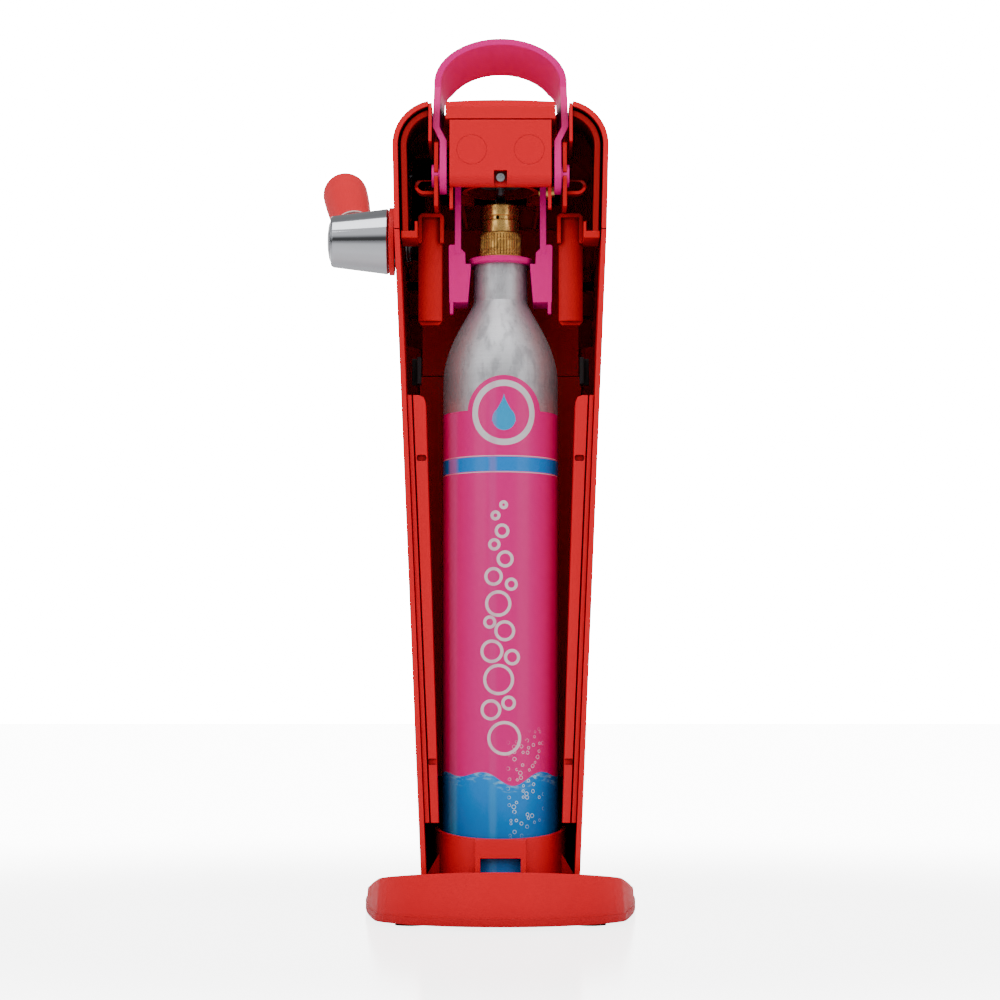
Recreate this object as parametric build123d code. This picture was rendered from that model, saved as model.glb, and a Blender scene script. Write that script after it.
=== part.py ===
from build123d import *
import math
import os

# Soda carbonator with its rear cover off, seen in service position. Millimetres, +Z up.
# Origin: on the surface that the foot stands on, under the gas cylinder. -Y is the bottle side,
# +Y the open rear, +X the side with the carbonating lever.
# Everything above the foot is drawn upright and then leaned towards the bottle side about X.

# ---------------------------------------------------------------- driving dimensions
LEAN = 2.4                 # column's lean towards the bottle, degrees
WALL = 2.8                 # outer shells
FIT = 0.3                  # gap between pieces that move past each other
SEAT_GAP = 0.05            # radial clearance of shafts and pins in their bores

COLUMN_FOOT_Z = 8.0        # lower end of the column, inside the foot
COLUMN_FOOT_HALF = 39.8    # half width there
COLUMN_TOP_HALF = 55.3     # half width at the seam under the head
SEAM_Z = 358.0             # seam between column and head; all of the head and bay top follows it
REAR_Y = 33.0              # open rear rim of column and head
COLUMN_FRONT_Y = -44.0     # front face of the column
COLUMN_CORNER = 26.0       # front corner radius of the column

HEAD_TOP_Z = SEAM_Z + 70.5         # crown of the head
HEAD_HALF = 56.4           # half width of the head
HEAD_CORNER = 23.5         # shoulder radius of the head's arch
HEAD_CROWN = 231.0         # radius of the arch's crown
HEAD_FRONT_Y = -134.0      # nose of the head
HEAD_NOSE_R = 46.0         # nose corner radius in plan
HEAD_CHIN_Z = SEAM_Z - 56.0        # underside of the bottle shroud
NOSE_RAKE = 5.0            # how far the nose falls back at the chin
GUIDE_IN_X = 30.6          # guide panels beside the carriage
GUIDE_OUT_X = 43.2
GUIDE_TOP_Z = SEAM_Z + 11.7
GUIDE_BOTTOM_Z = SEAM_Z - 47.0
LINER_GAP = 4.4            # from the head's outside to the liner
LINER_WALL = 2.9
SHELF_TOP_Z = SEAM_Z - 1.0        # shelf ribs that the liner stands on
SEAM_GAP = 0.5             # visible seam width

CYL_R = 30.1               # gas cylinder
CYL_BOTTOM_Z = 14.0
CYL_WALL = 3.0
SHOULDER_Z = SEAM_Z - 77.0         # where the shoulder starts
SHOULDER_SHAPE = 1.28      # higher is more pointed
NECK_R = 14.2
NECK_Z = SEAM_Z - 34.0             # where the neck starts
RING_R = 17.8              # neck ring
RING_Z = SEAM_Z - 14.6
RING_T = 3.4
KNURL_R = 10.9             # knurled collar of the valve
KNURL_T = 14.2
VALVE_R = 9.6
VALVE_TOP_Z = SEAM_Z + 18.0
PIN_R = 1.6
SLEEVE_T = 0.25            # printed sleeve on the cylinder
SLEEVE_TOP_Z = SEAM_Z - 94.5
SLEEVE_BOTTOM_Z = 22.0
EMBLEM_R = 18.8            # round badge that rises above the sleeve's edge

LIFT = 8.0                 # carriage travel
ROD_X = 22.4               # lifting rods
ROD_W = 3.2
ROD_Y = 10.0
ROD_TOP_Z = SEAM_Z + 44.0
HOOK_OUT_X = 27.3
HOOK_SHELF_X = 15.6
HOOK_Z = SEAM_Z - 35.4
HOOK_TOP_Z = SEAM_Z - 4.8

PIVOT_Y = 25.0             # locking handle's pivot
PIVOT_Z = SEAM_Z + 29.0
HANDLE_REAR_Y = 19.2
HANDLE_FRONT_Y = -8.0
HANDLE_TOP_Z = SEAM_Z + 104.0       # crown of the bail
HANDLE_HALF = 35.0         # half width of the bail
HANDLE_ARCH = 24.0         # height of its elliptical arch
HANDLE_T = 3.6             # thickness of the bail
ARM_HALF = 31.7            # half width over the arms at the pivot
ARM_T = 3.6
HANDLE_DROP = 10.0         # front edge is lower than the rear edge
HANDLE_NARROW = 2.4        # and narrower on each side
BOSS_R = 6.0               # pivot boss
BOSS_END_X = 35.9

BRACKET_X = 32.5           # pivot bracket's inner face
BRACKET_T = 2.1
BRACKET_TOP_Z = SEAM_Z + 46.0
BRACKET_BOTTOM_Z = SEAM_Z + 12.0
PANEL_HALF = 26.6          # rear head panel
PANEL_BOTTOM_Z = SEAM_Z + 23.0
SCREW_Z = PANEL_BOTTOM_Z + 4.4   # panel screw
PANEL_TOP_Z = SEAM_Z + 57.4
CAP_Z = SEAM_Z + 58.0
CAP_FRONT_Y = -12.0
SLOT_FRONT_Y = -4.0
CAP_HALF = 28.7            # half width of the cap between the handle's arms
EAR_X = 35.9
EAR_OUT_X = 37.6

SEAT_R = 17.8              # opening of the valve seat
SEAT_WALL = 2.6
SEAT_Z = SEAM_Z + 25.4
SEAT_ROOF_Z = SEAM_Z + 30.6
CHASSIS_Z = SEAM_Z + 33.0
CHASSIS_T = 3.0

LEVER_Y = -32.0            # lever axis
LEVER_Z = SEAM_Z + 5.0
SHAFT_R = 6.0
HUB_IN_X = 60.3
HUB_OUT_X = 93.6
HUB_IN_R = 17.8
HUB_OUT_R = 14.0
FLANGE_R = 18.3
FLANGE_X = 57.2
BUSH_WALL = 3.0
BUSH_R = SHAFT_R + BUSH_WALL
CAM_OFFSET = 2.4
CAM_R = SHAFT_R + CAM_OFFSET + 0.6   # thinnest side of the cam is 0.6
CAM_X = 45.0
CAM_W = 6.0
GRIP_REACH = 78.6          # lever axis to the middle of the grip's ball
GRIP_RISE = 30.0           # degrees above level, pointing forward
GRIP_ROOT_X = 81.0
GRIP_END_X = 87.5
GRIP_ROOT_R = 10.4
GRIP_END_R = 12.6

ROCKER_Y = -62.0           # rocker's pivot
ROCKER_Z = SEAM_Z + 47.5
ROCKER_PIN_R = 2.5
PLUNGER_R = 4.0
PLUNGER_NOSE_R = 2.2
PLUNGER_TOP_Z = SEAM_Z + 44.5
PLUNGER_NOSE_Z = SEAM_Z + 23.6

BOTTLE_Y = -90.0           # bottle axis
COLLAR_R = 28.0
COLLAR_BORE_R = 16.6
COLLAR_Z = SEAM_Z - 52.0
COLLAR_TOP_Z = SEAM_Z - 24.0
COLLAR_PIVOT_Z = SEAM_Z - 20.0
NOZZLE_HEAD_R = 12.0
NOZZLE_HEAD_Z = SEAM_Z - 17.5
NOZZLE_TOP_Z = SEAM_Z - 2.0
NOZZLE_R = 4.2
NOZZLE_END_Z = SEAM_Z - 162.0
HOSE_R = 2.4
HOSE_Z = SEAM_Z + 26.0
HOSE_BEND = 24.0

SPINE_Y = -33.0            # bay wall in front of the cylinder
SPINE_T = 2.0
SPINE_BOTTOM_Z = 75.0
SPINE_SEAM_Z = SEAM_Z - 68.3
SPINE_CORNER_GAP = 5.8

RAIL_TOP_Z = SEAM_Z - 87.0
RAIL_BOTTOM_Z = 51.0
RAIL_Y = 27.0
RAIL_T = 3.0
RAIL_IN_TOP_X = 38.8       # inner edge of the rails at the top
RAIL_IN_BOTTOM_X = 31.6    # and at the bottom
TRIM_W = 2.2
GROOVE_W = 0.8
SLOT_W = 5.0
SLOT_H = 3.2
SLOT_HIGH_Z = SEAM_Z - 119.7
SLOT_LOW_Z = 82.0

CUP_WALL = 2.0
CUP_GAP = 2.2              # between cylinder and cup
CUP_R = CYL_R + CUP_GAP + CUP_WALL
CUP_RIM_Z = 48.6
CUP_SCOOP = 6.5            # how far the lip dips at the rear
CUP_FLOOR_Z = 11.0
BOSS_HALF = 13.0
BOSS_PROUD = 2.2           # boss face behind the open rear rim, where it meets the foot

FOOT_BACK_Y = 62.0
FOOT_CORNER_X = 63.5
FOOT_CORNER_Y = 25.0
FOOT_CORNER_R = 28.0
FOOT_BULGE = 2.2
FOOT_WIDE_X = 73.6
FOOT_WIDE_Y = -92.0
FOOT_BACK_Z = 29.6         # height of the rear ridge
FOOT_LOW_Z = 12.0          # height around the drip tray
FOOT_SKIRT_Z = 6.0
FOOT_DRAFT = 5.0
SKIRT_STEP = 0.6
FOOT_WALL = 3.0
PAD_T = 2.0                # rubber feet
PLATE_T = 2.0
FOOT_SCREWS = [(50.0, 8.0), (60.0, -70.0)]
TRAY_R = 49.0
TRAY_FLOOR_Z = 7.0
TRAY_Y = COLUMN_FRONT_Y - 7.0 - TRAY_R   # 7 in front of the column
TRAY_RIM_Z = 14.0
FOOT_FRONT_Y = TRAY_Y - TRAY_R - 21.0    # margin in front of the tray


# ---------------------------------------------------------------- helpers
def half_width(z):
    """Half width of the tapering column at height z."""
    rate = (COLUMN_TOP_HALF - COLUMN_FOOT_HALF) / (SEAM_Z - COLUMN_FOOT_Z)
    return COLUMN_FOOT_HALF + rate * (z - COLUMN_FOOT_Z)


def leaned(shape):
    return Rot(LEAN, 0, 0) * shape


def block(x0, x1, y0, y1, z0, z1):
    """Box between two opposite corners."""
    box = Box(x1 - x0, y1 - y0, z1 - z0, align=(Align.MIN, Align.MIN, Align.MIN))
    return Pos(x0, y0, z0) * box


def rod_z(radius, z0, z1, x=0.0, y=0.0):
    """Upright cylinder."""
    return Pos(x, y, (z0 + z1) / 2) * Cylinder(radius, z1 - z0)


def rod_x(radius, x0, x1, y, z):
    """Cylinder along X."""
    return Pos((x0 + x1) / 2, y, z) * Rot(0, 90, 0) * Cylinder(radius, x1 - x0)


def rod_y(radius, y0, y1, x, z):
    """Cylinder along Y."""
    return Pos(x, (y0 + y1) / 2, z) * Rot(90, 0, 0) * Cylinder(radius, y1 - y0)


def ring_z(outer, inner, z0, z1, x=0.0, y=0.0):
    return rod_z(outer, z0, z1, x, y) - rod_z(inner, z0 - 1, z1 + 1, x, y)


def front_face(points, y):
    """Filled outline in the XZ plane at depth y, from (x, z) points."""
    return make_face(Polyline(*[(x, y, z) for x, z in points], close=True))


def slab_y(points, y0, y1):
    """Outline of (x, z) points made solid between two depths."""
    return extrude(front_face(points, y0), amount=y1 - y0, dir=(0, 1, 0))


def slab_x(points, x0, x1):
    """Outline of (y, z) points made solid between two X values."""
    face = make_face(Polyline(*[(x0, y, z) for y, z in points], close=True))
    return extrude(face, amount=x1 - x0, dir=(1, 0, 0))


def mirrored(shape):
    """The shape and its mirror image across the middle plane, as separate solids."""
    return Compound(shape.solids() + mirror(shape, about=Plane.YZ).solids())


def turned(points):
    """Solid of revolution about Z from (r, z) points."""
    face = make_face(Polyline(*[(r, 0, z) for r, z in points], close=True))
    return revolve(face, axis=Axis.Z)


# ---------------------------------------------------------------- column and head envelopes
def column_section(z, inset, rear_y):
    """Plan of the column: square at the rear, rounded at the front."""
    half = half_width(z) - inset
    front = COLUMN_FRONT_Y + inset
    radius = COLUMN_CORNER - inset
    bend = radius * math.sqrt(0.5)
    left = ThreePointArc(
        (-half, front + radius, z),
        (-half + radius - bend, front + radius - bend, z),
        (-half + radius, front, z),
    )
    right = ThreePointArc(
        (half - radius, front, z),
        (half - radius + bend, front + radius - bend, z),
        (half, front + radius, z),
    )
    edges = [
        Line((-half, rear_y, z), left @ 0),
        left,
        Line(left @ 1, right @ 0),
        right,
        Line(right @ 1, (half, rear_y, z)),
        Line((half, rear_y, z), (-half, rear_y, z)),
    ]
    return make_face(Curve() + edges)


def column_solid(inset, z0, z1, rear_y):
    return loft([column_section(z0, inset, rear_y), column_section(z1, inset, rear_y)], ruled=True)


def head_arch(inset, y):
    """Front view of the head: sides in line with the column, rounded shoulders, crowned top."""
    half = HEAD_HALF - inset
    radius = HEAD_CORNER - inset
    crown = HEAD_CROWN - inset
    top = HEAD_TOP_Z - inset
    centre_x = HEAD_HALF - HEAD_CORNER
    lean_angle = math.asin(centre_x / (crown - radius))
    centre_z = top - crown + (crown - radius) * math.cos(lean_angle)
    join_x = centre_x + radius * math.sin(lean_angle)
    join_z = centre_z + radius * math.cos(lean_angle)
    mid_angle = (math.pi / 2 + lean_angle) / 2
    mid_x = centre_x + radius * math.sin(mid_angle)
    mid_z = centre_z + radius * math.cos(mid_angle)
    chin = half_width(HEAD_CHIN_Z) - inset
    seam = half_width(SEAM_Z) - inset
    right = Polyline((chin, y, HEAD_CHIN_Z), (seam, y, SEAM_Z), (half, y, centre_z))
    left = Polyline((-chin, y, HEAD_CHIN_Z), (-seam, y, SEAM_Z), (-half, y, centre_z))
    shoulder = ThreePointArc((half, y, centre_z), (mid_x, y, mid_z), (join_x, y, join_z))
    crown_arc = ThreePointArc((join_x, y, join_z), (0, y, top), (-join_x, y, join_z))
    far_shoulder = ThreePointArc((-join_x, y, join_z), (-mid_x, y, mid_z), (-half, y, centre_z))
    floor = Line((-chin, y, HEAD_CHIN_Z), (chin, y, HEAD_CHIN_Z))
    return make_face(Curve() + [right, left, shoulder, crown_arc, far_shoulder, floor])


def nose_plan(inset, rear_y, z):
    """Plan of the head with its rounded nose."""
    half = HEAD_HALF - inset + 2.0
    front = HEAD_FRONT_Y + inset
    radius = HEAD_NOSE_R - inset
    corner = (half, front)
    bend = radius * math.sqrt(0.5)
    right = ThreePointArc(
        (corner[0], front + radius, z),
        (half - radius + bend, front + radius - bend, z),
        (half - radius, front, z),
    )
    left = ThreePointArc(
        (-half + radius, front, z),
        (-half + radius - bend, front + radius - bend, z),
        (-half, front + radius, z),
    )
    edges = [
        Line((half, rear_y, z), right @ 0),
        right,
        Line(right @ 1, left @ 0),
        left,
        Line(left @ 1, (-half, rear_y, z)),
        Line((-half, rear_y, z), (half, rear_y, z)),
    ]
    return make_face(Curve() + edges)


def head_side(inset):
    """Side view of the head: flat top, well rounded brow, slightly raked nose."""
    front = HEAD_FRONT_Y + inset
    chin_front = front + NOSE_RAKE
    top = HEAD_TOP_Z + 1.0 - inset
    rear = REAR_Y + 10.0
    brow = ThreePointArc(
        (0, front + 62, top - 0.5),
        (0, front + 21, top - 14),
        (0, front, top - 58),
    )
    edges = [
        Line((0, rear, HEAD_CHIN_Z), (0, rear, top)),
        Line((0, rear, top), brow @ 0),
        brow,
        Line(brow @ 1, (0, chin_front, HEAD_CHIN_Z)),
        Line((0, chin_front, HEAD_CHIN_Z), (0, rear, HEAD_CHIN_Z)),
    ]
    return make_face(Curve() + edges)


def head_solid(inset, z0, z1, rear_y):
    """The head's envelope between two heights, inset by a wall."""
    front = extrude(head_arch(inset, rear_y), amount=200, dir=(0, -1, 0))
    plan = extrude(nose_plan(inset, rear_y, HEAD_CHIN_Z), amount=200, dir=(0, 0, 1))
    side = extrude(head_side(inset), amount=80, both=True)
    return front & plan & side & block(-90, 90, -200, 90, z0, z1)


# ---------------------------------------------------------------- foot
def foot_outline(inset, z):
    """Plan of the foot: bowed back, rounded corners, gently flaring sides, round front."""
    back = FOOT_BACK_Y - inset
    corner = (FOOT_CORNER_X - inset, FOOT_CORNER_Y)
    wide = FOOT_WIDE_X - inset
    middle = ((corner[0] + wide) / 2 + FOOT_BULGE, (corner[1] + FOOT_WIDE_Y) / 2)
    rear = ThreePointArc((-corner[0], corner[1], z), (0, back, z), (corner[0], corner[1], z))
    right = ThreePointArc((corner[0], corner[1], z), (*middle, z), (wide, FOOT_WIDE_Y, z))
    left = ThreePointArc((-wide, FOOT_WIDE_Y, z), (-middle[0], middle[1], z), (-corner[0], corner[1], z))
    nose = EllipticalCenterArc(
        (0, FOOT_WIDE_Y, z), wide, FOOT_WIDE_Y - FOOT_FRONT_Y - inset, start_angle=180, arc_size=180
    )
    face = make_face(Curve() + [rear, right, nose, left])
    corners = face.vertices().sort_by(Axis.Y)[-2:]
    return fillet(corners, FOOT_CORNER_R - inset)


def foot_block(inset, z0, z1):
    """Foot's outside: upright skirt, then drafted sides."""
    skirt = extrude(foot_outline(inset, z0), amount=FOOT_SKIRT_Z - z0, dir=(0, 0, 1))
    lean_in = (z1 - FOOT_SKIRT_Z) * math.tan(math.radians(FOOT_DRAFT))
    low = foot_outline(inset + SKIRT_STEP, FOOT_SKIRT_Z)
    high = foot_outline(inset + SKIRT_STEP + lean_in, z1)
    return skirt + loft([low, high], ruled=True)


def foot_wedge(drop):
    """Everything under the foot's sloping top, lowered by drop."""
    low_y = -38.0
    points = [
        (FOOT_BACK_Y + 5, -5),
        (FOOT_BACK_Y + 5, FOOT_BACK_Z + 0.6 - drop),
        (low_y, FOOT_LOW_Z + 3.2 - drop),
        (low_y - 22, FOOT_LOW_Z - drop),
        (FOOT_FRONT_Y - 5, FOOT_LOW_Z - 2.5 - drop),
        (FOOT_FRONT_Y - 5, -5),
    ]
    return slab_x(points, -100, 100)


def foot_shell():
    outer = foot_block(0, PAD_T, 40) & foot_wedge(0)
    hollow = foot_block(FOOT_WALL, 0, 40) & foot_wedge(FOOT_WALL)
    well = rod_z(TRAY_R + 0.6, TRAY_FLOOR_Z, 40, y=TRAY_Y)
    well_wall = rod_z(TRAY_R + 0.6 + FOOT_WALL, TRAY_FLOOR_Z - 2, 40, y=TRAY_Y)
    shell = outer - (hollow - well_wall) - well
    for x, y in FOOT_SCREWS:
        for side in (-1, 1):
            shell += rod_z(4, PAD_T + PLATE_T, 40, side * x, y) & foot_wedge(1)
    column = leaned(column_solid(0, COLUMN_FOOT_Z, 60, REAR_Y))
    return shell - column - leaned(cup_envelope(0))


def foot_plate():
    plate = extrude(foot_outline(FOOT_WALL + FIT, PAD_T), amount=PLATE_T, dir=(0, 0, 1))
    for x, y in FOOT_SCREWS:
        for side in (-1, 1):
            plate -= rod_z(1.7, 0, 10, side * x, y)
    return plate


def foot_screws():
    screws = []
    for x, y in FOOT_SCREWS:
        for side in (-1, 1):
            head = rod_z(2.8, PAD_T - 1.2, PAD_T, side * x, y)
            shank = rod_z(1.65, PAD_T, PAD_T + PLATE_T - 0.1, side * x, y)
            screws += (head + shank).solids()
    return Compound(screws)


def rubber_feet():
    """Four pads near the corners and one round pad under the cylinder."""
    pads = [rod_z(14, 0, PAD_T)]
    for x, y in [(46, 22), (-46, 22), (54, -112), (-54, -112)]:
        pads.append(rod_z(8, 0, PAD_T, x, y))
    return Compound([pad.solid() for pad in pads])


def drip_tray():
    outer = rod_z(TRAY_R, TRAY_FLOOR_Z + 0.4, TRAY_RIM_Z, y=TRAY_Y)
    inner = rod_z(TRAY_R - 2, TRAY_FLOOR_Z + 2, TRAY_RIM_Z + 1, y=TRAY_Y)
    return outer - inner


def drip_grille():
    disc = rod_z(TRAY_R - 2 - FIT, TRAY_RIM_Z - 2.4, TRAY_RIM_Z - 0.4, y=TRAY_Y)
    pitch = TRAY_R / 5.0
    grille = disc
    for row in range(-3, 4):
        x = row * pitch
        reach = math.sqrt((TRAY_R - 10) ** 2 - x * x) - 2
        grille -= block(x - 1.6, x + 1.6, TRAY_Y - reach, TRAY_Y + reach, 5, 20)
    for side in (-1, 1):
        grille += rod_z(1.8, TRAY_FLOOR_Z + 2.01, TRAY_RIM_Z - 2, side * 2.5 * pitch, TRAY_Y)
    return grille


# ---------------------------------------------------------------- column
def column_shell():
    """Open channel of the column with the bottle shroud on its front."""
    outer = column_solid(0, COLUMN_FOOT_Z, SEAM_Z - SEAM_GAP, REAR_Y)
    shroud = head_solid(0, HEAD_CHIN_Z, SEAM_Z - SEAM_GAP, 0)
    inner = column_solid(WALL, COLUMN_FOOT_Z - 1, SEAM_Z + 5, REAR_Y + 10)
    cavity = head_solid(WALL, HEAD_CHIN_Z + WALL, SEAM_Z + 5, 1)
    mouth = rod_z(COLLAR_R + 5, HEAD_CHIN_Z - 5, HEAD_CHIN_Z + 10, y=BOTTLE_Y)
    mouth += rod_z(COLLAR_R + 5, HEAD_CHIN_Z - 5, HEAD_CHIN_Z + 10, y=BOTTLE_Y - 6)
    shell = (outer + shroud) - inner - cavity - mouth
    bore = rod_x(BUSH_R, 40, 70, LEVER_Y, LEVER_Z)
    lugs = []
    for x0, x1 in ((COLLAR_R + 1.6, half_width(COLLAR_PIVOT_Z - 8) - 1), (-half_width(COLLAR_PIVOT_Z - 8) + 1, -COLLAR_R - 1.6)):
        lug = block(x0, x1, BOTTLE_Y - 7, BOTTLE_Y + 7, COLLAR_PIVOT_Z - 7, COLLAR_PIVOT_Z + 7)
        lugs.append(lug - rod_x(2.5 + SEAT_GAP, -80, 80, BOTTLE_Y, COLLAR_PIVOT_Z))
    lip = head_solid(WALL + 0.1, SEAM_Z - 4, SEAM_Z + 3, -1)
    lip += head_solid(WALL - 0.6, SEAM_Z - 4, SEAM_Z - SEAM_GAP, -1)
    lip -= head_solid(WALL + 1.4, SEAM_Z - 6, SEAM_Z + 5, 5)
    shell = shell + lip - bore - rod_x(BUSH_R + 2.8, 40, half_width(SEAM_Z) - WALL, LEVER_Y, LEVER_Z)
    for lug in lugs:
        shell += lug & head_solid(1.0, HEAD_CHIN_Z, SEAM_Z, 0)
    return shell


def spine_half(z):
    """Half width of the bay wall, where it meets the column's rounded front corners."""
    return half_width(z) - WALL - SPINE_CORNER_GAP


def spine_lower():
    """Bay wall in front of the cylinder, below the seam."""
    z0, z1 = SPINE_BOTTOM_Z, SPINE_SEAM_Z - SEAM_GAP
    half0, half1 = spine_half(z0), spine_half(z1)
    return slab_y([(-half0, z0), (half0, z0), (half1, z1), (-half1, z1)], SPINE_Y, SPINE_Y + SPINE_T)


def spine_upper():
    """Bay wall above the seam, narrower where the lever's cam turns."""
    z0 = SPINE_SEAM_Z
    wide, narrow = 42.0, CAM_X - CAM_W / 2 - 3.2
    right = [(wide, z0), (wide, SEAM_Z - 20), (narrow, SEAM_Z - 16), (narrow, BRACKET_BOTTOM_Z - 1)]
    left = [(-x, z) for x, z in reversed(right)]
    return slab_y(right + left, SPINE_Y, SPINE_Y + SPINE_T)


def rail_inner(z):
    rate = (RAIL_IN_TOP_X - RAIL_IN_BOTTOM_X) / (RAIL_TOP_Z - RAIL_BOTTOM_Z)
    return RAIL_IN_BOTTOM_X + rate * (z - RAIL_BOTTOM_Z)


def rail_outer(z):
    return half_width(z) - WALL - 0.4


def rail():
    """Side rail on the lever side: rear face, inner flange, two hook slots."""
    z0, z1 = RAIL_BOTTOM_Z, RAIL_TOP_Z
    edge = TRIM_W + GROOVE_W
    face = [
        (rail_inner(z0), z0),
        (rail_outer(z0) - edge, z0),
        (rail_outer(z1) - edge, z1),
        (rail_inner(z1) + 3.5, z1),
        (rail_inner(z1) + 1.0, z1 - 1.0),
        (rail_inner(z1), z1 - 3.5),
    ]
    flange = [
        (rail_inner(z0), z0),
        (rail_inner(z0) + 2, z0),
        (rail_inner(z1) + 2, z1 - 1),
        (rail_inner(z1), z1 - 3.5),
    ]
    panel = slab_y(face, RAIL_Y, RAIL_Y + RAIL_T) + slab_y(flange, 5.0, RAIL_Y)
    for z in (SLOT_HIGH_Z, SLOT_LOW_Z):
        x = (rail_inner(z) + rail_outer(z) - edge) / 2
        slot = Pos(x, RAIL_Y + RAIL_T, z) * Rot(90, 0, 0) * extrude(
            RectangleRounded(SLOT_W, SLOT_H, 1.2), amount=2.0
        )
        panel -= slot
    return panel


def rail_trim():
    z0, z1 = RAIL_BOTTOM_Z, RAIL_TOP_Z
    points = [
        (rail_outer(z0) - TRIM_W, z0),
        (rail_outer(z0), z0),
        (rail_outer(z1), z1),
        (rail_outer(z1) - TRIM_W, z1),
    ]
    return slab_y(points, RAIL_Y - 4, RAIL_Y + RAIL_T + 0.6)


def cup_envelope(inset):
    """Upright horseshoe block: round at the rear, straight towards the bottle side."""
    radius = CUP_R - inset
    round_part = rod_z(radius, COLUMN_FOOT_Z, 60)
    boss = block(-BOSS_HALF, BOSS_HALF, CUP_R - 14.3, REAR_Y + BOSS_PROUD - inset, COLUMN_FOOT_Z, 46)
    return round_part + boss + block(-radius, radius, -36 + inset, 0, COLUMN_FOOT_Z, 60)


def cylinder_cup():
    """Cup at the foot of the bay, with a scooped lip, a flat boss and a window."""
    outer = cup_envelope(0)
    pocket = rod_z(CUP_R - CUP_WALL, CUP_FLOOR_Z, 70)
    pocket += block(-CUP_R + CUP_WALL, CUP_R - CUP_WALL, -80, 0, CUP_FLOOR_Z, 70)
    lip_cut = [
        (-40, CUP_RIM_Z),
        (2, CUP_RIM_Z),
        (CUP_R + 2, CUP_RIM_Z - CUP_SCOOP),
        (CUP_R + 2, 90),
        (-40, 90),
    ]
    window = block(-10.3, 10.3, CUP_R - 4.3, REAR_Y + 7, 24, 33)
    gussets = []
    for side in (-1, 1):
        root = CUP_R - 3.3
        gusset = slab_y([(side * root, 25), (side * (root + 6.5), 25), (side * root, 36)], 12, 14)
        gussets.append(gusset)
    cup = outer - pocket - slab_x(lip_cut, -60, 60) - window
    for gusset in gussets:
        cup += gusset
    return cup & column_solid(WALL + 0.1, COLUMN_FOOT_Z, 60, REAR_Y + 5)


def cover_clips():
    """Dark spring clips for the rear cover, beside the bay."""
    z0, z1 = SPINE_SEAM_Z - 10.2, SPINE_SEAM_Z + 3.8
    clip = block(41.6, 43.6, 4, 12, z0, z1) + block(41.6, 46.5, 4, 6, z0, z1)
    return mirrored(clip)


# ---------------------------------------------------------------- head
def head_shell():
    outer = head_solid(0, SEAM_Z, HEAD_TOP_Z + 9, REAR_Y)
    inner = head_solid(WALL, SEAM_Z - 5, HEAD_TOP_Z, REAR_Y + 8)
    notch = block(-EAR_OUT_X - 0.1, EAR_OUT_X + 0.1, CAP_FRONT_Y, 60, BRACKET_TOP_Z, HANDLE_TOP_Z)
    bore = rod_x(BUSH_R, 40, 70, LEVER_Y, LEVER_Z)
    return outer - inner - notch - bore


def head_liner():
    """Inner arch, one piece each side of the cap, which leaves the cover's groove."""
    outer = extrude(head_arch(LINER_GAP, 0), amount=31, dir=(0, 1, 0))
    inner = extrude(head_arch(LINER_GAP + LINER_WALL, -1), amount=40, dir=(0, 1, 0))
    keep_out = block(-EAR_OUT_X - 0.2, EAR_OUT_X + 0.2, -5, 60, HEAD_CHIN_Z, HANDLE_TOP_Z)
    return (outer - inner) - keep_out - block(-90, 90, -5, 60, HEAD_CHIN_Z - 1, SHELF_TOP_Z)


def head_cap():
    """Block that closes the top behind the head shell, slotted for the handle's arms."""
    arch = extrude(head_arch(0, REAR_Y), amount=REAR_Y - CAP_FRONT_Y, dir=(0, -1, 0))
    cap = arch & block(-EAR_OUT_X, EAR_OUT_X, CAP_FRONT_Y, REAR_Y, BRACKET_TOP_Z, HANDLE_TOP_Z)
    cap -= block(-PANEL_HALF - 0.4, PANEL_HALF + 0.4, CAP_FRONT_Y - 1, 60, HEAD_CHIN_Z, CAP_Z)
    for side in (-1, 1):
        x0, x1 = sorted((side * CAP_HALF, side * EAR_X))
        cap -= block(x0, x1, SLOT_FRONT_Y, 60, HEAD_CHIN_Z, HANDLE_TOP_Z)
        x2, x3 = sorted((side * (PANEL_HALF + 0.3), side * EAR_X))
        cap -= block(x2, x3, CAP_FRONT_Y - 1, 60, HEAD_CHIN_Z, CAP_Z)
    for side in (-1, 1):
        x0, x1 = sorted((side * (PANEL_HALF - 1), side * EAR_OUT_X))
        cap += block(x0, x1, CAP_FRONT_Y, SLOT_FRONT_Y, CAP_Z - 7, CAP_Z + 1)
    top = HEAD_TOP_Z
    slope = [
        (REAR_Y - 15, top + 1.5), (REAR_Y - 11, top + 0.1), (REAR_Y, top - 5.9),
        (REAR_Y + 9, top - 6.5), (REAR_Y + 9, top + 11.5),
    ]
    return cap - slab_x(slope, -60, 60)


def rear_panel():
    """Rear face of the head between the handle's arms."""
    z0 = PANEL_BOTTOM_Z
    panel = block(-PANEL_HALF, PANEL_HALF, 26, REAR_Y, z0, PANEL_TOP_Z)
    panel = fillet(panel.edges().filter_by(Axis.X).group_by(Axis.Z)[0].sort_by(Axis.Y)[-1], 5.0)
    for x in (-15, 15):
        ring = Pos(x, REAR_Y, z0 + 18.5) * Rot(90, 0, 0) * (Cylinder(7.9, 0.24) - Cylinder(7.65, 1))
        panel -= ring
    panel -= block(-3.4, 3.4, 20, 40, z0 - 1, z0 + 7.6)
    panel += block(-5, 5, 24, 28.6, z0 + 0.4, z0 + 9.6)
    panel -= rod_y(1.2, 19, 29, 0, SCREW_Z)
    for side in (-1, 1):
        x0, x1 = sorted((side * 24.8, side * PANEL_HALF))
        panel += block(x0, x1, 24, 28, z0 - 11.5, z0 + 1)
        x2, x3 = sorted((side * 18.5, side * PANEL_HALF))
        panel += block(x2, x3, 18, 26, z0 + 15, z0 + 19)
    return panel


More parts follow.
